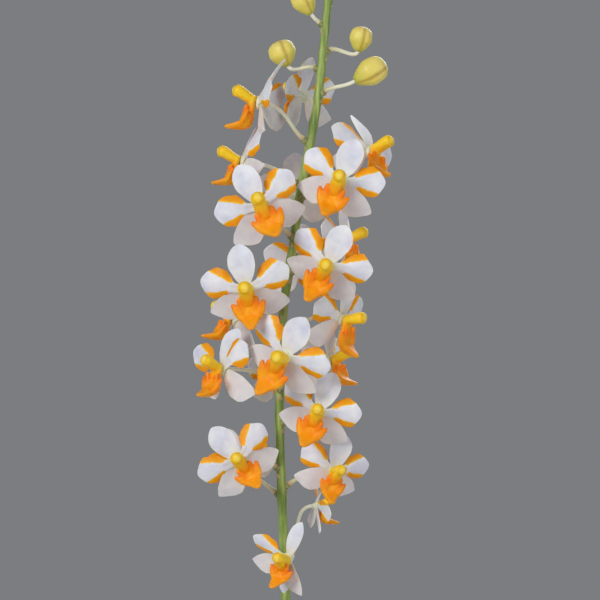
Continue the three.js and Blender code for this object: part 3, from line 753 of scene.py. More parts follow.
def leaf_shape(leaf, number):
    """One blade, from its joint with the sheath to its two-lobed tip."""
    outward, across, foot, along = leaf_frame(leaf)
    draw = random.Random(40 + number)
    phase = draw.uniform(0, 6.28)
    width = flowing(LEAF_STATIONS)

    def ways_at(shares):
        rises = np.radians(leaf["start"] + (leaf["end"] - leaf["start"]) * shares ** LEAF_DROOP)
        return np.outer(np.cos(rises), outward) + np.outer(np.sin(rises), [0, 0, 1])

    joints = np.array(LEAF_JOINTS)
    steps = ways_at(joints) * np.diff(joints, prepend=0)[:, None] * leaf["length"]
    bones = foot + along * (SHEATH_REACH - SEAT_DEPTH) + np.cumsum(steps, 0)
    shares = np.linspace(0, 1, LEAF_ROWS + 1) ** 0.9
    spine = np.stack([flowing(list(zip(joints, column)))(shares) for column in bones.T], 1)
    ways = ways_at(shares)
    ups = np.cross(across, ways)

    def tip_lobe(v):
        # One lobe reaches a little further than the other, with a notch at the midrib between them
        return 1 - 0.028 * np.exp(-(v / 0.22) ** 2) - 0.02 * (v > 0) - 0.05 * np.abs(v) ** 3

    def place(u, v):
        row = np.rint(u * LEAF_ROWS).astype(int)
        reach = shares[row]
        lobe = np.where(reach > 0.8, 1 - (1 - tip_lobe(v)) * ((reach - 0.8) / 0.2) ** 2, 1)
        half = width(reach) * leaf["half_width"]
        side = v * half
        wave = LEAF_WAVE * np.sin(reach * 11 + phase) * v * np.abs(v) * half / leaf["half_width"]
        groove = -MIDRIB_GROOVE * np.exp(-(side / 1.1) ** 2)
        lift = LEAF_FOLD * np.sqrt(side ** 2 + 1.5) + LEAF_THICKNESS / 2 + groove + wave
        back = (lobe - 1)[..., None] * leaf["length"] * ways[row]
        return spine[row] + back + side[..., None] * across + lift[..., None] * ups[row]

    def under(u, v):
        row = np.rint(u * LEAF_ROWS).astype(int)
        half = width(shares[row]) * leaf["half_width"]
        keel = MIDRIB_KEEL * np.exp(-(v * half / 1.6) ** 2)
        depth = LEAF_THICKNESS * (0.35 + 0.65 * np.sqrt(np.clip(1 - v * v, 0, 1))) - MIDRIB_GROOVE + keel
        thinned = 1 - 0.8 * np.clip((shares[row] - 0.75) / 0.25, 0, 1) ** 1.5
        return (depth * thinned)[..., None] * ups[row]

    return thin_blade(np.linspace(0, 1, LEAF_ROWS + 1), edge_crowded(LEAF_COLUMNS), place, under,
                      along=lambda u, v: u, across=lambda u, v: v)


def leaf_skin():
    """Waxy mid green under a thin gloss, with faint veins, a pale midrib and a paler back."""
    material, tree, shader = surface(
        "orchid leaf, thick and waxy", Roughness=0.38, IOR=1.45, Coat_Weight=0.15, Coat_Roughness=0.25)
    place = add(tree, "ShaderNodeTexCoord").outputs["Object"]
    across, along, back = marks_of(tree, "across", "along", "back")
    mottle = add(tree, "ShaderNodeTexNoise", inputs={"Vector": place, "Scale": 1 / (18 * MM), "Detail": 5})
    green = add(tree, "ShaderNodeValToRGB", inputs={"Fac": mottle}, stops=[
        (0.3, "#2F5A22"), (0.7, "#55843A"), (0.5, "#3F6F2C")])
    # Veins run along the strap, a dozen to each half
    wide = add(tree, "ShaderNodeMath", {"operation": "MULTIPLY"}, {"Value": across, "Value_001": 76.0})
    ripple = add(tree, "ShaderNodeMath", {"operation": "SINE"}, {"Value": wide})
    veins = add(tree, "ShaderNodeMapRange", inputs={
        "Value": ripple, "From Min": 0.2, "From Max": 1, "To Max": 0.05})
    # The midrib is a soft pale line about 1 mm wide
    far = add(tree, "ShaderNodeMath", {"operation": "ABSOLUTE"}, {"Value": across})
    rib = add(tree, "ShaderNodeMapRange", inputs={
        "Value": far, "From Min": 0.05, "From Max": 0.0, "To Max": 0.5})
    pale = add(tree, "ShaderNodeMath", {"operation": "MULTIPLY"}, {"Value": back, "Value_001": 0.45})
    color = green
    for share, tone in ((veins, "#8DB06A"), (rib, "#A3BE7C"), (pale, "#8FAE6B")):
        color = add(tree, "ShaderNodeMix", {"data_type": "RGBA"}, {
            "Factor_Float": share, "A_Color": color, "B_Color": linear(tone)})
    connect(shader, {"Base Color": color})
    # The foot of the blade is duller than the rest
    base = add(tree, "ShaderNodeMapRange", inputs={
        "Value": along, "From Min": 0, "From Max": 0.1, "To Min": 0.5, "To Max": 0.36})
    connect(shader, {"Roughness": base})
    relief = add(tree, "ShaderNodeBump", inputs={
        "Height": ripple, "Strength": 0.05, "Distance": 0.08 * MM})
    connect(shader, {"Normal": relief})
    return material


leaf_green = leaf_skin()
for number, leaf in enumerate(LEAVES, 1):
    piece(f"strap_leaf_{number}", [leaf_shape(leaf, number)], [leaf_green], f"leaf_{number}")


# Flower spike: one tough green stalk that leans out from the stem and rises straight, with a small
# papery bract under each flower stalk and a closed sheath at each joint of its bare lower part. It
# ends in a cluster of buds no bigger than grains.
STALK_START_RADIUS = 0.75
STALK_END_RADIUS = 0.66
STALK_SWELL = 0.26
STALK_WAIST = 0.06
STALK_ROWS = 16
STALK_SIDES = 12
STALK_TUCK = 0.8
STALK_RISE = 35
SCAR_REACH = 1.3
SCAR_RADII = [1.15, 1.1, 1.05, 1.1, 1.2, 1.22, 1.0]
SCAR_SIDES = 14
BRACT_SIZE = 1.7
EGG_ROWS = 26
# Places along a bud, each with the share of its full width there
EGG_STATIONS = [(0, 0.3), (0.2, 0.68), (0.5, 1), (0.75, 0.93), (0.9, 0.7), (0.97, 0.4), (1, 0.04)]
SEAM_DEPTH = 0.13
SEPALS = 3
BUD_SIDES = 48
TIP_BUD_SIDES = 24
SPIKE_SIDES = 24
TIP_BUD_RISE = 48
# Each tip bud: the height it grows at, the way it points round the spike, and its radius
TIP_BUDS = [(514, 190, 2.1), (521, 330, 1.9), (528, 110, 1.6), (534, 240, 1.3), (540, 20, 1.05)]
LOWER_JOINTS = [158, 196, 236, 280]
JOINT_SIDES = 28
JOINT_THICKNESS = (0.05, 0.34, 0.36, 0.34, 0.32, 0.3, 0.27, 0.22, 0.05)
# Each flower: where its heart is; its turn round the spike, up or down, and about its own middle; its
# size; how wide and how long its lip opens; the height that its stalk starts from; and how its blades
# differ from the usual ones
FLOWERS = [
    {"at": (-8.5, -4, 465.5), "turn": (-86, 5, 0), "size": 1.05, "lip": (0.9, 1.15), "from": 452, "blades": {
        "dorsal": {"lean": 0.45, "width": 0.85}, "right sepal": {"angle": 128, "lean": 0.1, "width": 0.7},
        "left sepal": {"angle": 100, "lean": 0.7}, "left petal": {"angle": 72, "lean": 0.6}}},
    {"at": (6, 14.5, 468.5), "turn": (-128, 8, 0), "size": 0.95, "lip": (0.8, 1.03), "from": 458},
    {"at": (-14, 1, 446), "turn": (-82, 3, 0), "size": 1, "lip": (0.8, 1.03), "from": 438, "blades": {
        "dorsal": {"lean": 0.4}, "right petal": {"angle": 50, "lean": 0.3},
        "right sepal": {"angle": 94, "lean": 0.35, "width": 0.7}}},
    {"at": (28.5, 3, 449.5), "turn": (50, 4, 20), "size": 1, "lip": (0.95, 1.25), "from": 441, "blades": {
        "dorsal": {"lean": 0.75}, "left petal": {"lean": 0.45}, "left sepal": {"lean": 0.4}}},
    {"at": (-8, -14, 431), "turn": (5, -5, -28), "size": 1.05, "lip": (1, 1.3), "from": 420},
    {"at": (18, -14, 439), "turn": (-10, -10, 22), "size": 1.02, "lip": (1, 1.35), "from": 433},
    {"at": (3, 16, 436), "turn": (-165, 0, 0), "size": 0.95, "lip": (0.8, 1.03), "from": 428},
    {"at": (14, -14, 411.5), "turn": (-16, -20, 31), "size": 1.02, "lip": (0.95, 1.35), "from": 408},
    {"at": (19.5, 6, 420), "turn": (68, -4, 0), "size": 0.97, "lip": (0.9, 1.2), "from": 413},
    {"at": (-12.5, -18.5, 403.5), "turn": (0, -20, -9), "size": 1.05, "lip": (1, 1.3), "from": 396},
    {"at": (-17, 7, 393.5), "turn": (-72, 11, 0), "size": 1, "lip": (0.8, 1.03), "from": 386},
    {"at": (19, -2, 393.5), "turn": (55, -20, 0), "size": 1, "lip": (0.75, 1.3), "from": 388},
    {"at": (0, -21, 381.5), "turn": (-30, -20, 36), "size": 1.07, "lip": (0.95, 1.4), "from": 369},
    {"at": (-21, -6, 377), "turn": (-46, 0, 4), "size": 1, "lip": (0.85, 1.15), "from": 372, "blades": {
        "dorsal": {"angle": 18, "lean": 0.2}, "right petal": {"angle": 50, "lean": 0.05},
        "left petal": {"lean": 0}}},
    {"at": (15, 8, 379.5), "turn": (62, 0, 0), "size": 1, "lip": (0.8, 1.03), "from": 374},
    {"at": (11, -11, 363), "turn": (-11, -13, 23), "size": 0.97, "lip": (1, 1.35), "from": 358},
    {"at": (-3, 15, 375), "turn": (-150, 0, 0), "size": 0.9, "lip": (0.8, 1.03), "from": 361},
    {"at": (-15.2, -11, 347), "turn": (10, -10, -39), "size": 0.97, "lip": (0.9, 1.2), "from": 343},
    {"at": (16.2, -2.5, 343.3), "turn": (15, -19, 15), "size": 0.88, "lip": (0.95, 1.3), "from": 337},
    {"at": (10.5, 6, 331), "turn": (88, 0, 0), "size": 0.75, "lip": (0.8, 1.03), "from": 313, "blades": {
        "dorsal": {"lean": -0.3}, "left petal": {"angle": 100, "lean": -0.45}, "right petal": {"lean": 0},
        "left sepal": {"angle": 140, "lean": -0.15}}},
    {"at": (1, -14, 315), "turn": (-34, -18, 18), "size": 0.92, "lip": (0.85, 1.05), "from": 308, "blades": {
        "dorsal": {"angle": 8, "lean": 0.2, "width": 0.65},
        "left petal": {"angle": 70, "lean": -0.15, "width": 0.65},
        "left sepal": {"angle": 112, "lean": -0.1, "width": 0.85},
        "right petal": {"angle": 182, "lean": 0.05, "width": 0.5},
        "right sepal": {"angle": 150, "lean": 0, "width": 0.75}}},
    {"at": (-15, 8, 346), "turn": (175, 0, 30), "size": 0.85, "lip": (0.8, 1.03), "from": 334},
    {"at": (6, 16, 412), "turn": (165, 0, 0), "size": 0.95, "lip": (0.8, 1.03), "from": 405},
]
# Each bud: where its middle is, the way it points, its size, and the height that its stalk starts from
BUDS = [
    {"at": (6.3, -2, 499.5), "points": (-0.5, 0, 0.9), "length": 10, "radius": 4, "from": 491},
    {"at": (25.3, 1, 487), "points": (0.2, 0, 1), "length": 8.5, "radius": 3.8, "from": 482},
    {"at": (-0.7, 4.5, 482.5), "points": (-0.35, 0, 0.95), "length": 9, "radius": 4.6, "from": 476},
    {"at": (28.4, -2, 475.8), "points": (0.85, 0, 0.5), "length": 12, "radius": 4.6, "from": 468},
    {"at": (22, 3, 507), "points": (0.4, 0.2, 0.9), "length": 6.5, "radius": 2.8, "from": 500},
]


def spike_at(height):
    """The spike's middle and radius at a height."""
    return np.array([np.interp(height, spike_path[:, 2], spike_path[:, k]) for k in range(4)])


def scar_for(height, target):
    """The corky scar on the spike that carries a stalk: its root, its end and the way it points."""
    *root, radius = spike_at(height)
    root = np.array(root)
    away = np.array([target[0] - root[0], target[1] - root[1], 0])
    along = risen(unit(away), STALK_RISE)
    return root, root + along * (radius + SCAR_REACH), along


def egg(foot, along, length, radius, sides, seams):
    """A bud from its narrow foot to its blunt tip, with a shallow groove between each two sepals."""
    share = 1 - (1 - np.linspace(0, 1, EGG_ROWS)) ** 1.7
    bulge = flowing(EGG_STATIONS)(share) * radius
    side = unit(np.cross(along, (0.3, 1, 0.2)))
    other = np.cross(along, side)
    turns = full_turn(sides)
    seam = np.cos(turns * seams / 2) ** 40
    rings = []
    for place, width in zip(share, bulge):
        groove = SEAM_DEPTH * seam * math.sin(math.pi * place ** 1.4)
        reach = width * (1 - groove + 0.03 * np.sin(turns * seams))
        rings.append(foot + along * length * place + np.outer(reach * np.cos(turns), side)
                     + np.outer(reach * np.sin(turns), other))
    return rings_shape(rings, along=np.repeat(share, sides), seam=np.tile(seam, EGG_ROWS))


def bract(root, axis_radius, along, size):
    """A papery scale hugging the axis under a stalk."""
    upright = np.array([0, 0, 1.0])
    out = unit(along - upright * along[2])
    across = np.cross(upright, out)

    def place(u, v):
        half = size * 0.75 * np.clip(1 - u ** 1.3, 0, 1) + 0.02
        radius = axis_radius + 0.12 + 0.45 * u ** 2
        angle = v * half / radius
        rise = (u * 1.25 - 0.75) * size
        return (root + rise[..., None] * upright + (radius * np.cos(angle))[..., None] * out
                + (radius * np.sin(angle))[..., None] * across)

    def under(u, v):
        return 0.22 * (1 - 0.6 * u)[..., None] * np.broadcast_to(out, (*u.shape, 3))

    return look(thin_blade(np.linspace(0, 1, 8), np.linspace(-1, 1, 9), place, under), 1)


def joint_sheath(height):
    """The thin sheath that wraps a joint of the bare lower stalk, drawn out to a point on one side."""
    middle = spike_at(height)
    turns = full_turn(JOINT_SIDES)
    rings = []
    for share, thick in zip(np.linspace(0, 1, len(JOINT_THICKNESS)), JOINT_THICKNESS):
        top = 5 + 5 * np.maximum(0, np.cos(turns - height)) ** 2
        level = height + top * share
        centre = np.stack([np.interp(level, spike_path[:, 2], spike_path[:, k]) for k in range(2)], 1)
        reach = middle[3] + thick
        rings.append(np.column_stack([
            centre[:, 0] + reach * np.cos(turns), centre[:, 1] + reach * np.sin(turns), level]))
    return look(rings_shape(rings), 1)


def spike_shapes():
    """The spike, swollen where something grows from it, with its scars, bracts, tip buds and joints."""
    radii = spike_path[:, 3].copy()
    for flower in FLOWERS + BUDS:
        radii += 0.16 * np.exp(-((spike_path[:, 2] - flower["from"]) / 1.6) ** 2)
    for joint in LOWER_JOINTS:
        radii += 0.25 * np.exp(-((spike_path[:, 2] - joint) / 2) ** 2)
    parts = [strand(spike_path[:, :3], radii, SPIKE_SIDES)]
    for flower in FLOWERS + BUDS:
        root, end, along = scar_for(flower["from"], flower["at"])
        path = root + np.outer(np.linspace(0, 1, len(SCAR_RADII)), end - root)
        parts.append(look(strand(path, SCAR_RADII, SCAR_SIDES), 2))
        below = spike_at(flower["from"] - 1.2)
        parts.append(bract(below[:3], below[3], along, BRACT_SIZE))
    for height, azimuth, radius in TIP_BUDS:
        turn = math.radians(azimuth)
        along = risen((math.cos(turn), math.sin(turn)), TIP_BUD_RISE)
        foot = spike_at(height)[:3] + along * 0.6
        parts.append(look(egg(foot, along, radius * 2.9, radius, TIP_BUD_SIDES, SEPALS), 3))
    return parts + [joint_sheath(height) for height in LOWER_JOINTS]


def spike_skin():
    """Yellowish green, streaked along its length and strewn with small dark specks in patches."""
    material, tree, shader = surface("flower spike, green and tough", Roughness=0.46, IOR=1.43)
    place = add(tree, "ShaderNodeTexCoord").outputs["Object"]
    long = add(tree, "ShaderNodeMapping", inputs={"Vector": place, "Scale": (1, 1, 0.12)})
    # Streaks of paler green run up the stalk, 1.5 mm wide
    streaks = add(tree, "ShaderNodeTexNoise", inputs={
        "Vector": long, "Scale": 1 / (1.5 * MM), "Detail": 3})
    green = add(tree, "ShaderNodeValToRGB", inputs={"Fac": streaks}, stops=[
        (0.32, "#67803A"), (0.68, "#AFBD6C"), (0.5, "#8AA04F")])
    # Dark specks of 0.3 mm lie 1.1 mm apart, in patches of 5 mm
    specks = add(tree, "ShaderNodeTexVoronoi", inputs={"Vector": place, "Scale": 1 / (1.1 * MM)})
    dark = add(tree, "ShaderNodeMapRange", inputs={
        "Value": specks, "From Min": 0.16, "From Max": 0.1, "To Max": 0.75})
    patchy = add(tree, "ShaderNodeTexNoise", inputs={"Vector": place, "Scale": 1 / (5 * MM)})
    where = add(tree, "ShaderNodeMapRange", inputs={"Value": patchy, "From Min": 0.5, "From Max": 0.62})
    amount = add(tree, "ShaderNodeMath", {"operation": "MULTIPLY"}, {"Value": dark, "Value_001": where})
    color = add(tree, "ShaderNodeMix", {"data_type": "RGBA"}, {"Factor_Float": amount, "A_Color": green,
        "B_Color": linear("#4A3A22")})
    connect(shader, {"Base Color": color})
    relief = add(tree, "ShaderNodeBump", inputs={
        "Height": streaks, "Strength": 0.3, "Distance": 0.15 * MM})
    connect(shader, {"Normal": relief})
    return material


def bract_paper():
    """Straw-coloured and dull, with fine fibres."""
    material, tree, shader = surface("bract, dry and papery", Roughness=0.7, IOR=1.4)
    place = add(tree, "ShaderNodeTexCoord").outputs["Object"]
    # Fibres 0.5 mm apart run up each scale
    long = add(tree, "ShaderNodeMapping", inputs={"Vector": place, "Scale": (1, 1, 0.1)})
    fibre = add(tree, "ShaderNodeTexNoise", inputs={"Vector": long, "Scale": 1 / (0.5 * MM), "Detail": 3})
    color = add(tree, "ShaderNodeValToRGB", inputs={"Fac": fibre}, stops=[
        (0.3, "#97885A"), (0.7, "#C9BE96"), (0.5, "#B1A475")])
    connect(shader, {"Base Color": color})
    relief = add(tree, "ShaderNodeBump", inputs={"Height": fibre, "Strength": 0.3, "Distance": 0.1 * MM})
    connect(shader, {"Normal": relief})
    return material


def stalk_skin():
    """Pale greenish white and a little translucent, brownish where the stalk swells at its base."""
    material, tree, shader = surface("flower stalk, smooth and fleshy", Roughness=0.45, IOR=1.42,
                                     Subsurface_Weight=0.15, Subsurface_Scale=1 * MM)
    [along] = marks_of(tree, "along")
    color = add(tree, "ShaderNodeValToRGB", inputs={"Fac": along}, stops=[
        (0.0, "#B0946C"), (1.0, "#F2EFE0"), (0.12, "#CFC7A0"), (0.42, "#E4E4C8")])
    connect(shader, {"Base Color": color})
    return material


def scar_skin():
    """Olive brown and dull, in patches under 1 mm wide."""
    material, tree, shader = surface("stalk scar, brownish and corky", Roughness=0.6, IOR=1.42)
    place = add(tree, "ShaderNodeTexCoord").outputs["Object"]
    cork = add(tree, "ShaderNodeTexNoise", inputs={"Vector": place, "Scale": 1 / (0.7 * MM), "Detail": 4})
    color = add(tree, "ShaderNodeValToRGB", inputs={"Fac": cork}, stops=[
        (0.3, "#6F6A3E"), (0.7, "#A9AA74"), (0.5, "#8C8B58")])
    connect(shader, {"Base Color": color})
    return material


def bud_skin():
    """Waxy yellow sepals, greener at the foot, warmer at the tip, and darker olive along the seams as
    painted shade.
    """
    material, tree, shader = surface("orchid bud, waxy", Roughness=0.42, IOR=1.43,
                                     Subsurface_Weight=0.2, Subsurface_Scale=1.5 * MM)
    place = add(tree, "ShaderNodeTexCoord").outputs["Object"]
    along, seam = marks_of(tree, "along", "seam")
    blush = add(tree, "ShaderNodeTexNoise", inputs={"Vector": place, "Scale": 1 / (3.5 * MM), "Detail": 3})
    mixed = add(tree, "ShaderNodeMath", {"operation": "MULTIPLY_ADD"}, {
        "Value": blush, "Value_001": 0.5, "Value_002": along})
    ripe = add(tree, "ShaderNodeMapRange", inputs={"Value": mixed, "From Max": 1.4})
    color = add(tree, "ShaderNodeValToRGB", inputs={"Fac": ripe}, stops=[
        (0.12, "#A9B04C"), (0.96, "#DCA648"), (0.32, "#D8CC5C"), (0.55, "#E9D76C"), (0.84, "#EBD878")])
    # The seams get painted shade, a darker olive where shade falls in their grooves
    shade = add(tree, "ShaderNodeMath", {"operation": "MULTIPLY"}, {"Value": seam, "Value_001": 0.7})
    seamed = add(tree, "ShaderNodeMix", {"data_type": "RGBA"}, {
        "Factor_Float": shade, "A_Color": color, "B_Color": linear("#B08A34")})
    connect(shader, {"Base Color": seamed})
    return material


stalk_flesh = stalk_skin()
bud_flesh = bud_skin()
spike_looks = [spike_skin(), bract_paper(), scar_skin(), bud_flesh]
piece("green_flower_spike", spike_shapes(), spike_looks, "flower_spike")


# Buds: closed flowers near the top of the spike. Three thick sepals meet along seams over the rest,
# and the stalk behind them is still short and thin.
def stalk_path(seat, end, facing):
    """A stalk leaves its scar straight and reaches the back of its flower squarely."""
    _, scar_end, along = seat
    start = scar_end - along * SEAT_DEPTH
    reach = np.linalg.norm(end - start)
    handles = [start, start + along * 0.35 * reach, end - facing * 0.45 * reach, end]
    t = np.linspace(0, 1, STALK_ROWS)[:, None]
    weights = [(1 - t) ** 3, 3 * t * (1 - t) ** 2, 3 * t * t * (1 - t), t ** 3]
    return sum(weight * handle for weight, handle in zip(weights, handles))


def stalk_shape(seat, end, facing):
    """A stalk from the scar it sits on to its flower, swollen at its base and slimmer in the middle."""
    path = stalk_path(seat, end, facing)
    share = np.linspace(0, 1, len(path))
    radii = STALK_START_RADIUS + (STALK_END_RADIUS - STALK_START_RADIUS) * share
    swell = STALK_SWELL * np.exp(-((share - 0.03) / 0.08) ** 2)
    waist = STALK_WAIST * np.sin(math.pi * share)
    return look(strand(path, radii + swell - waist, STALK_SIDES), 1)


for number, bud in enumerate(BUDS, 1):
    centre = np.array(bud["at"], float)
    along = unit(np.array(bud["points"], float))
    foot = centre - along * bud["length"] / 2
    stalk = stalk_shape(scar_for(bud["from"], bud["at"]), foot + along * STALK_TUCK, along)
    body = egg(foot, along, bud["length"], bud["radius"], BUD_SIDES, SEPALS)
    piece(f"closed_bud_{number}", [body, stalk], [bud_flesh, stalk_flesh], f"bud_{number}")


# Flowers: three sepals and two petals round a short column, on a stalk of their own. The flesh is
# white with a breath of lavender, a little translucent, and the petals' edges are folded back and
# orange, with a thin yellow line where orange meets white.
# Each kind of blade: its length, the angle from upright that it stands at, how far out of the flower
# it starts, how far it leans back as a share of its length, half its width along it on its upper and
# on its lower side, and the share of its length that its round tip takes
DORSAL = {
    "length": 14.4, "angle": 0, "base": 0, "lean": 0.14,
    "outer": [(0, 1.2), (0.1, 1.6), (0.35, 3.35), (0.6, 4.3), (0.8, 4.05), (1, 3.2)],
    "inner": [(0, 1.2), (0.1, 1.6), (0.35, 3.35), (0.6, 4.3), (0.8, 4.05), (1, 3.2)], "round": 0.3,
}
PETAL = {
    "length": 14.6, "angle": 72, "base": 0.5, "lean": 0.22,
    "outer": [(0, 1.1), (0.1, 1.3), (0.28, 1.6), (0.38, 3.4), (0.5, 4.6), (0.66, 4.9), (0.82, 4.3), (1, 3)],
    "inner": [(0, 1.1), (0.1, 1.3), (0.34, 1.7), (0.45, 3.6), (0.57, 4.8), (0.71, 5), (0.84, 4.3), (1, 2.9)],
    "round": 0.26,
}
LATERAL = {
    "length": 14.6, "angle": 120, "base": 0, "lean": 0.28,
    "outer": [(0, 1.1), (0.1, 1.4), (0.3, 2.3), (0.55, 2.7), (0.8, 2), (0.95, 0.9), (1, 0.5)],
    "inner": [(0, 1.1), (0.1, 1.3), (0.3, 4.2), (0.5, 6.2), (0.65, 6.3), (0.8, 5), (0.93, 2.2), (1, 0.6)],
    "round": 0.05,
}
BLADES = {
    "right sepal": LATERAL, "left sepal": LATERAL, "dorsal": DORSAL, "right petal": PETAL,
    "left petal": PETAL,
}
# Half the width of a petal's white part, along it, on its upper and on its lower side
WHITE_OUTER = [(0, 9), (0.3, 2), (0.36, 1.5), (0.55, 2.5), (0.75, 3.2), (0.9, 3.9), (1, 5)]
WHITE_INNER = [(0, 9), (0.36, 2), (0.42, 1.5), (0.6, 2.5), (0.76, 3.1), (0.88, 3.9), (1, 6)]
NO_ORANGE = -4.0
TEPAL_THICKNESS = 0.7
TEPAL_ROWS = 40
TEPAL_COLUMNS = 18
# The swelling behind the blades, as radii and places out of the flower
HUB = [(0, -2.4), (0.75, -2.3), (0.95, -1.6), (1.5, -0.7), (2.1, 0.1), (2.2, 0.6), (1.6, 1.1), (0, 1.2)]
HUB_SIDES = 24


def tepal(kind, mirrored, draw, own):
    """One sepal or petal in the flower's own frame: x to the right, y up, z out of its face."""
    length, width = kind["length"], own.get("width", 1)
    lean = own.get("lean", kind["lean"] * draw.uniform(0.85, 1.15))
    outer, inner = flowing(kind["outer"]), flowing(kind["inner"])
    white = flowing(WHITE_OUTER), flowing(WHITE_INNER)
    petal = kind is PETAL
    bow = draw.uniform(0.1, 0.7)
    twist = draw.uniform(-0.07, 0.07)
    phases = [draw.uniform(0, 6.28) for _ in range(4)]
    sign = -1 if mirrored else 1

    def side_of(u, v):
        # How far to the side a point lies, with a round tip and an edge that waves a little
        tip = np.sqrt(np.clip(1 - (np.clip(u - 1 + kind["round"], 0, 1) / kind["round"]) ** 2, 0.0004, 1))
        half = np.where(v < 0, outer(u), inner(u)) * tip
        if petal:
            wavy = np.clip((u - 0.3) * 8, 0, 1)
            slow = 0.03 * np.sin(17 * u + phases[0] + 2 * (v < 0))
            fast = 0.018 * np.sin(31 * u + phases[1] + 4 * (v < 0))
            half = half * (1 + wavy * (slow + fast))
        else:
            half = half * (1 + 0.015 * np.sin(13 * u + phases[0] + v))
        return v * half * width

    def place(u, v):
        side = side_of(u, v)
        far = np.abs(side)
        if petal:
            # The petal is creased back along its sides, a little inside the line where its white ends
            crease = 0.75 * width * np.where(v < 0, white[0](u), white[1](u))
            bent = np.maximum(far - crease, 0)
            bend = np.where(v < 0, 0.5, 0.28)
            drop = 0.1 * far + bend * bent + 0.3 * np.exp(-(side / 0.5) ** 2) * np.clip(1 - u, 0, 1)
            flutter = 0.22 * np.sin(19 * u + phases[2] + 3 * (v < 0)) * np.clip(far - 2, 0, 3) / 3
        elif kind is DORSAL:
            # The upper sepal is hollow like a spoon
            drop = -0.03 * side ** 2 + 0.16 * np.exp(-(side / 0.45) ** 2)
            flutter = 0.1 * np.sin(8 * u + phases[2]) * v
        else:
            drop = 0.012 * side ** 2 * np.where(v > 0, 1.3, 0.4) - 0.05 * far
            flutter = 0.16 * np.sin(7 * u + phases[2]) * v
        rise = bow * np.sin(math.pi * u) + flutter + twist * side
        z = kind["base"] - lean * length * u ** 1.15 - drop + rise
        return np.stack([side * sign, u * length, z], -1)

    def under(u, v):
        depth = TEPAL_THICKNESS * (0.12 + 0.88 * np.sqrt(np.clip(1 - v * v, 0, 1))) * (1.25 - 0.4 * u)
        return np.stack([0 * u, 0 * u, depth], -1)

    def orange(u, v):
        # How far outside the white part a point lies
        if not petal:
            return NO_ORANGE
        return np.abs(side_of(u, v)) - width * np.where(v < 0, white[0](u), white[1](u))

    along = 1 - (1 - np.linspace(0, 1, TEPAL_ROWS + 1)) ** 1.4
    # Side sepals carry painted shade, a warmer and greyer tint over the whole blade
    beige = 1.0 if kind is LATERAL else 0.0
    made = thin_blade(along, edge_crowded(TEPAL_COLUMNS), place, under, along=lambda u, v: u,
                      across=lambda u, v: v, orange=orange, beige=lambda u, v: beige)
    if mirrored:
        made["faces"] = [face[::-1] for face in made["faces"]]
    turn = math.radians(sign * -own.get("angle", kind["angle"]) + draw.uniform(-2, 2))
    cos, sin = math.cos(turn), math.sin(turn)
    made["points"] = made["points"] @ np.array([[cos, sin, 0], [-sin, cos, 0], [0, 0, 1]])
    return made


def hub_shape():
    """The swelling that the blades grow from."""
    return turned(HUB, HUB_SIDES, along=0.0, across=0.5, orange=NO_ORANGE, beige=0.0)


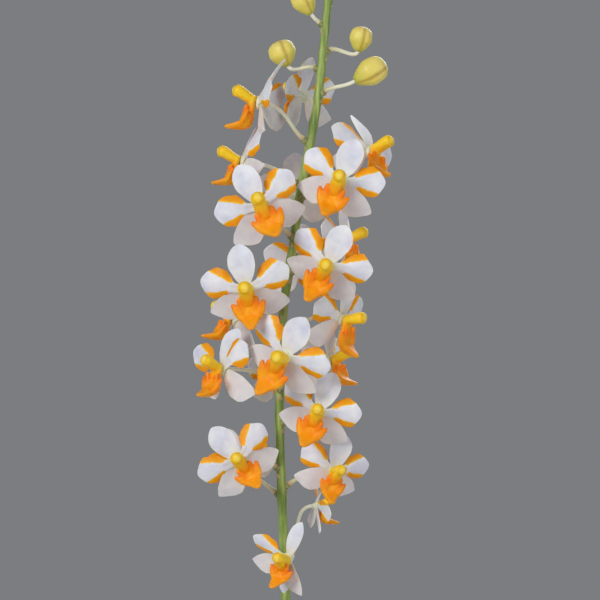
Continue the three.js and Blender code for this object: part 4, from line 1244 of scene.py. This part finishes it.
def tepal_flesh():
    """Milky white clouded with lavender, and orange outside the crease with a thin yellow line between."""
    material, tree, shader = surface(
        "orchid tepal, thin living flesh", Roughness=0.5, IOR=1.4, Subsurface_Weight=0.25,
        Subsurface_Scale=1.2 * MM, Specular_IOR_Level=0.35)
    place = add(tree, "ShaderNodeTexCoord").outputs["Object"]
    along, across, outside, beige = marks_of(tree, "along", "across", "orange", "beige")
    # The white is clouded with lavender in soft patches of 5 mm
    clouds = add(tree, "ShaderNodeTexNoise", inputs={"Vector": place, "Scale": 1 / (5 * MM), "Detail": 3})
    color = add(tree, "ShaderNodeValToRGB", inputs={"Fac": clouds}, stops=[
        (0.3, "#D3D6E6"), (0.72, "#EEF0F4"), (0.5, "#E2E5EF")])
    # Side sepals are painted a shade warmer and greyer all over: painted shade, for the shade they lie in
    painted_sepal_shade = add(tree, "ShaderNodeMath", {"operation": "MULTIPLY"}, {"Value": beige, "Value_001": 0.4})
    # Veins fan out along the blade, six to each half
    fan = add(tree, "ShaderNodeMath", {"operation": "MULTIPLY"}, {"Value": across, "Value_001": 38.0})
    ripple = add(tree, "ShaderNodeMath", {"operation": "SINE"}, {"Value": fan})
    veins = add(tree, "ShaderNodeMapRange", inputs={
        "Value": ripple, "From Min": 0.3, "From Max": 1, "To Max": 0.06})
    # The heart of the flower is greenish cream, and every side edge has a hair of cream
    heart = add(tree, "ShaderNodeMapRange", inputs={
        "Value": along, "From Min": 0.3, "From Max": 0.03, "To Max": 0.7})
    far = add(tree, "ShaderNodeMath", {"operation": "ABSOLUTE"}, {"Value": across})
    edge = add(tree, "ShaderNodeMapRange", inputs={
        "Value": far, "From Min": 0.93, "From Max": 1.0, "To Max": 0.5})
    for share, tone in ((painted_sepal_shade, "#E2D8CC"), (veins, "#B9B0CC"), (heart, "#EAE8BC"), (edge, "#EFE3B4")):
        color = add(tree, "ShaderNodeMix", {"data_type": "RGBA"}, {
            "Factor_Float": share, "A_Color": color, "B_Color": linear(tone)})
    # The orange ends in a ragged line, moved in and out by a noise of 1.4 mm
    ragged = add(tree, "ShaderNodeTexNoise", inputs={"Vector": place, "Scale": 1 / (1.4 * MM), "Detail": 4})
    moved = add(tree, "ShaderNodeMath", {"operation": "MULTIPLY_ADD"}, {
        "Value": ragged, "Value_001": 0.9, "Value_002": outside})
    depth = add(tree, "ShaderNodeMapRange", inputs={"Value": moved, "From Min": 0.2, "From Max": 2.6})
    orange = add(tree, "ShaderNodeValToRGB", inputs={"Fac": depth}, stops=[
        (0.0, "#F6DD78"), (1.0, "#EC9604"), (0.16, "#F9C030"), (0.3, "#F9A406")])
    mask = add(tree, "ShaderNodeMapRange", {"interpolation_type": "SMOOTHSTEP"}, {
        "Value": moved, "From Min": 0.2, "From Max": 0.45})
    painted = add(tree, "ShaderNodeMix", {"data_type": "RGBA"}, {
        "Factor_Float": mask, "A_Color": color, "B_Color": orange})
    # Cells of 0.3 mm give the flesh its crystalline sparkle, over the low ridges of the veins
    cells = add(tree, "ShaderNodeTexNoise", inputs={"Vector": place, "Scale": 1 / (0.3 * MM), "Detail": 1})
    fine = add(tree, "ShaderNodeBump", inputs={"Height": cells, "Strength": 0.18, "Distance": 0.08 * MM})
    ridged = add(tree, "ShaderNodeBump", inputs={
        "Height": ripple, "Strength": 0.05, "Distance": 0.1 * MM, "Normal": fine})
    connect(shader, {"Base Color": painted, "Normal": ridged})
    return material


# Column and lip: the yellow column stands out of the flower's heart like a thumb, with a pale cap over
# the pollen, which carries a painted highlight and painted shade round its rim and in the stigma hollow
# under it. Seen from the side a small beak hangs under the cap, and seen from the front the cap comes
# down to the lip. The lip is orange, a scoop with fingers on each side and a tongue in front.
# The column from its foot to its cap: its place up and out of the flower, and half its width and depth
COLUMN = {
    "y": [(0, 0.4), (0.35, 1.5), (0.72, 2.8), (1, 3.8)], "z": [(0, 1.7), (0.35, 3.9), (0.72, 6.5), (1, 8.9)],
    "wide": [(0, 2.3), (0.35, 2.3), (0.7, 2.3), (0.87, 2.2), (1, 1.7)],
    "deep": [(0, 1.5), (0.35, 1.7), (0.7, 2), (0.87, 1.95), (1, 1.4)],
}
# Each ring of the foot: its place up and out of the flower, and half its width and depth
FOOT = [
    (1.6, 2.2, 2.3, 1.3), (0, 2.3, 2.5, 1.3), (-1.8, 2.7, 2.5, 1.2), (-3.4, 3.6, 2.4, 1),
    (-4.9, 4.7, 1.7, 0.7),
]
# Each ring of the scoop: its edge and flank on the right, and its top and keel in the middle
SCOOP = [
    [(1.9, 1, 2.8), (1.7, 0.6, 1.4), (1.2, 3), (0.4, 1.2)],
    [(2.6, -1.3, 3.1), (2.4, -2, 1.4), (-1.1, 3.4), (-2.8, 1.1)],
    [(4.1, -3.2, 3.5), (3.4, -4.9, 1.8), (-3.4, 4.1), (-6.6, 1.1)],
    [(4.2, -4.3, 4.7), (3.4, -6.4, 3.3), (-5, 4.9), (-8.3, 2.4)],
    [(3.3, -5.4, 6.4), (2.7, -7.1, 6.1), (-6, 6.5), (-8.4, 5.3)],
    [(2.1, -6.3, 8.5), (1.8, -7.5, 8.5), (-6.5, 8.7), (-8.2, 8.3)],
    [(1.2, -6.9, 10.6), (1.1, -7.6, 10.5), (-6.9, 10.7), (-7.9, 10.3)],
]
# Each lobe: its root, its tip, half its width and depth, and how blunt its end is
FINGERS = [
    ((1.8, -5.4, 4.4), (2.8, -0.8, 4), 1.2, 0.85, 0.75),
    ((2.1, -6.4, 5.4), (5.3, -2.1, 3.6), 1.3, 0.85, 0.5),
]
FINGER_SIDES = 14
LOBE_ROWS = 12
COLUMN_SIDES = 24
COLUMN_ROWS = 20
FOOT_SIDES = 20
# Flowers turned further to the side than this have the beak under the cap, and the others the chin
SIDE_TURN = 40
BEAK = ((0, 2.6, 8), (0, 1.1, 8.3), 0.75, 0.6, 0.3)
CHIN = ((0, 3, 7.5), (0, -3, 3.7), 2, 1.1, 1.1)
LIP_VOXEL = 0.22
LIP_FACES = 5200
LIP_ROUNDING = 3
LIP_SMOOTHING = 4


def lobe(root, tip, wide, deep, point):
    """A flattened finger from its root to its tip; point is its width near the tip, as a share."""
    root, tip = np.array(root, float), np.array(tip, float)
    length = np.linalg.norm(tip - root)
    along = unit(tip - root)
    side = unit(np.cross(along, (0, 0.35, 1)))
    other = np.cross(along, side)
    turns = full_turn(FINGER_SIDES)
    width = flowing([
        (0, 0.6), (0.25, 0.92), (0.5, 1), (0.8, 0.4 + 0.55 * point), (0.93, 0.75 * point + 0.1), (1, 0.05)])
    rings = []
    for share in np.linspace(0, 1, LOBE_ROWS):
        rings.append(root + along * length * share + np.outer(wide * width(share) * np.cos(turns), side)
                     + np.outer(deep * width(share) * np.sin(turns), other))
    return rings_shape(rings)


def column_shape():
    """The thumb-like column, from the flower's heart to its rounded cap."""
    turns = full_turn(COLUMN_SIDES)
    curves = {key: flowing(stations) for key, stations in COLUMN.items()}
    rings = []
    for share in 1 - (1 - np.linspace(0, 1, COLUMN_ROWS)) ** 1.5:
        end = math.sqrt(max(0.01, 1 - max(0, (share - 0.82) / 0.18) ** 2))
        up = curves["deep"](share) * end * np.sin(turns)
        wide = curves["wide"](share) * end * np.cos(turns)
        rings.append(np.column_stack([wide, curves["y"](share) + up, curves["z"](share) - 0.35 * up]))
    return rings_shape(rings)


def foot_shape():
    """The column's foot, which runs down into the lip."""
    turns = full_turn(FOOT_SIDES)
    side, out = np.cos(turns), np.sin(turns)
    return rings_shape([np.column_stack([wide * side, y + 0.4 * deep * out, z - deep * out])
                        for y, z, wide, deep in FOOT])


def scoop_shape():
    """The lip's scoop and tongue, in rings of six points."""
    rings = []
    for edge, flank, top, keel in SCOOP:
        left = [(-x, y, z) for x, y, z in (edge, flank)]
        rings.append([flank, edge, (0, *top), *left, (0, *keel)])
    return rings_shape(rings)


def fused(shapes):
    """Shapes that overlap, the first one rounded, melted into one skin, smoothed and thinned."""
    things = []
    for part in shapes:
        mesh = bpy.data.meshes.new("part")
        mesh.from_pydata(part["points"], [], part["faces"])
        things.append(in_scene("part", mesh))
    things[0].modifiers.new("soft", "SUBSURF").levels = LIP_ROUNDING
    keep_evaluated(things[0])
    whole = joined(things)
    melt = whole.modifiers.new("melt", "REMESH")
    melt.mode = "VOXEL"
    melt.voxel_size = LIP_VOXEL
    soften = whole.modifiers.new("soften", "SMOOTH")
    soften.iterations = LIP_SMOOTHING
    soften.factor = 0.5
    keep_evaluated(whole)
    thin = whole.modifiers.new("thin", "DECIMATE")
    thin.ratio = LIP_FACES / sum(len(face.vertices) - 2 for face in whole.data.polygons)
    keep_evaluated(whole)
    made = shape_of(whole.data)
    bpy.data.objects.remove(whole)
    return made


def bump(distance, width):
    """One at no distance, and next to nothing beyond twice the width."""
    return np.exp(-(distance / width) ** 2)


def lip_template(under_cap):
    """A lip and column, given the lobe under the cap, with how yellow, red, pale and painted-shaded each
    point is.
    """
    fingers = [lobe((s * root[0], *root[1:]), (s * tip[0], *tip[1:]), *sizes)
               for root, tip, *sizes in FINGERS for s in (1, -1)]
    made = fused([scoop_shape(), foot_shape(), column_shape(), lobe(*under_cap), *fingers])
    x, y, z = made["points"].T
    # The hollow of the stigma is under the column's end, and painted shade darkens it there
    under_side = np.clip((0.42 * z - y) / 1.2, 0, 1) * (y > 0) * np.clip((z - 3.5) / 1.5, 0, 1)
    hollow = bump(x, 1.4) * bump(z - 6.6, 1.4) * under_side
    made["points"][:, 1] += 0.4 * hollow
    # The cap is edged by a darker rim, partly its own border and partly painted shade where the dome turns
    # away, and the fingers are reddest at their roots and their tips
    rim = bump(np.hypot(x / 1.5, (y - 3.5) / 1.9) - 1, 0.2) * np.clip((z - 6.4) / 1.2, 0, 1)
    tips = 0.5 * bump(np.hypot(np.abs(x) - 5.1, y + 2.7), 1.2)
    roots = bump(np.hypot(np.abs(x) - 2.7, y + 1.6), 1.7) * np.clip((z - 2.6) / 0.8, 0, 1)
    roots = roots * (np.abs(x) > 1.2)
    made["marks"] = {
        "yellow": np.clip((y + 2.2) / 3.4, 0, 1) * np.clip(2.4 - np.abs(x) / 1.9, 0, 1),
        # The cap is paler than the column, and a painted highlight sits on it a little to one side of its
        # middle
        "pale": bump(x - 0.3, 0.8) * bump(y - 3.6, 1.1) * np.clip((z - 7) / 1.4, 0, 1),
        # Painted shade round the cap's rim and in the stigma hollow, with the cap's own border line
        "seam": np.maximum(0.85 * rim, 0.2 * hollow),
        "red": np.clip(tips + roots, 0, 1),
        "tongue": np.clip((z - 6) / 3, 0, 1) * (y < -4),
    }
    return made


def lip_flesh():
    """Glowing orange and waxy, with a yellow column, a pale cap with a painted highlight, painted shade
    round the cap and under it, and redder fingers.
    """
    material, tree, shader = surface(
        "orchid lip, thick waxy flesh", Roughness=0.46, IOR=1.38, Subsurface_Weight=0.3,
        Subsurface_Scale=2 * MM, Specular_IOR_Level=0.4)
    place = add(tree, "ShaderNodeTexCoord").outputs["Object"]
    yellow, pale, red, tongue, seam = marks_of(tree, "yellow", "pale", "red", "tongue", "seam")
    clouds = add(tree, "ShaderNodeTexNoise", inputs={"Vector": place, "Scale": 1 / (3 * MM), "Detail": 3})
    color = add(tree, "ShaderNodeValToRGB", inputs={"Fac": clouds}, stops=[
        (0.3, "#FB9200"), (0.7, "#FFAE16"), (0.5, "#FFA009")])
    # The pale tone is the cap's own paler colour with a painted highlight, and the seam shade tone is
    # painted shade
    for mark, share, tone in ((tongue, 0.6, "#F9A52A"), (red, 0.9, "#FA7004"), (yellow, 0.95, "#FFD42A"),
                              (pale, 0.6, "#F9E780"), (seam, 0.8, "#DFAC0C")):
        amount = add(tree, "ShaderNodeMath", {"operation": "MULTIPLY"}, {"Value": mark, "Value_001": share})
        color = add(tree, "ShaderNodeMix", {"data_type": "RGBA"}, {
            "Factor_Float": amount, "A_Color": color, "B_Color": linear(tone)})
    # Cells of 0.35 mm break up the gloss
    cells = add(tree, "ShaderNodeTexNoise", inputs={"Vector": place, "Scale": 1 / (0.35 * MM), "Detail": 2})
    fine = add(tree, "ShaderNodeBump", inputs={"Height": cells, "Strength": 0.2, "Distance": 0.08 * MM})
    connect(shader, {"Base Color": color, "Normal": fine})
    return material


def placed(part, pose):
    """A copy of a shape, moved from the flower's frame to where the flower is."""
    matrix = np.array(pose)
    moved = dict(part)
    moved["points"] = part["points"] @ matrix[:3, :3].T + matrix[:3, 3]
    return moved


def opened(part, spread, stretch):
    """A copy of the lip that opens wider and hangs further below the column."""
    moved = dict(part)
    hanging = np.clip(-part["points"][:, 1] / 2, 0, 1)
    moved["points"] = part["points"].copy()
    moved["points"][:, 0] *= 1 + (spread - 1) * hanging
    moved["points"][:, 1] *= 1 + (stretch - 1) * hanging
    return moved


def pose_of(flower):
    """Where a flower is and how it is turned: round the spike, up or down, and about its own middle."""
    yaw, pitch, roll = (math.radians(angle) for angle in flower["turn"])
    return (Matrix.Translation(flower["at"]) @ Matrix.Rotation(yaw, 4, "Z")
            @ Matrix.Rotation(math.pi / 2 - pitch, 4, "X") @ Matrix.Rotation(-roll, 4, "Z")
            @ Matrix.Scale(flower["size"], 4))


flesh = tepal_flesh()
orange_flesh = lip_flesh()
lips = {"hooked": lip_template(BEAK), "blunt": lip_template(CHIN)}
hub = hub_shape()
for number, flower in enumerate(FLOWERS, 1):
    draw = random.Random(100 + number)
    pose = pose_of(flower)
    facing = unit(np.array(pose.to_3x3() @ Vector((0, 0, 1))))
    own = flower.get("blades", {})
    blades = [tepal(kind, name.startswith("left"), draw, own.get(name, {})) for name, kind in BLADES.items()]
    back = np.array(flower["at"]) - facing * STALK_TUCK
    stalk = stalk_shape(scar_for(flower["from"], flower["at"]), back, facing)
    parts = [placed(part, pose) for part in (hub, *blades)] + [stalk]
    piece(f"flower_{number:02d}_sepals_and_petals", parts, [flesh, stalk_flesh],
          f"flower_{number:02d}_tepals")
    template = lips["hooked" if abs(flower["turn"][0]) > SIDE_TURN else "blunt"]
    own_lip = placed(opened(template, *flower["lip"]), pose)
    node = f"flower_{number:02d}_lip"
    piece(f"flower_{number:02d}_column_and_lip", [own_lip], [orange_flesh], node)


# Studio: a pale floor, soft light from the upper left with a weaker fill, and a long lens level with
# the flowers, which shows the flowering part as large as the photograph does.
FLOOR_RADIUS = 1.7
FLOOR_SIDES = 128
FLOWER_AIM = (0, 0, 0.35)
CAMERA_PLACE = (5 * MM, -1.111, 0.4)
LENS_LENGTH = 200
FILM_WIDTH = 36


def studio_light(name, place, aim, size, watts):
    """A square lamp that points at its aim."""
    lamp = bpy.data.lights.new(name, "AREA")
    lamp.energy = watts
    lamp.size = size
    light = in_scene(name, lamp)
    light.location = place
    light.rotation_euler = (Vector(aim) - Vector(place)).to_track_quat("-Z", "Y").to_euler()


def pale_floor():
    """A round sheet of matt pale paper, which reflects soft light and no image."""
    mesh = bpy.data.meshes.new("studio_floor")
    disc = bmesh.new()
    bmesh.ops.create_circle(disc, cap_ends=True, segments=FLOOR_SIDES, radius=FLOOR_RADIUS)
    disc.to_mesh(mesh)
    disc.free()
    material, _, shader = surface("matt paper", Roughness=0.9)
    shader.inputs["Base Color"].default_value = linear("#D9D9D6")
    mesh.materials.append(material)
    in_scene("studio_floor", mesh)


pale_floor()
studio_light("key", (-0.9, -1.25, 1), (0, 0, 0.38), 0.7, 16.5)
studio_light("fill", (1.3, -1.1, 0.6), FLOWER_AIM, 1.2, 7.5)
studio_light("back", (0.5, 1.2, 1.1), FLOWER_AIM, 0.9, 10)
world = bpy.data.worlds.new("studio")
bpy.context.scene.world = world
world.use_nodes = True
connect(world.node_tree.nodes["Background"], {"Color": linear("#C9CCD0"), "Strength": 0.34})
bpy.context.scene.view_settings.view_transform = "Standard"

lens = bpy.data.cameras.new("camera")
lens.lens = LENS_LENGTH
lens.sensor_width = FILM_WIDTH
camera = in_scene("camera", lens)
camera.location = CAMERA_PLACE
camera.rotation_euler = (math.pi / 2, 0, 0)
bpy.context.scene.camera = camera

bpy.context.view_layer.update()
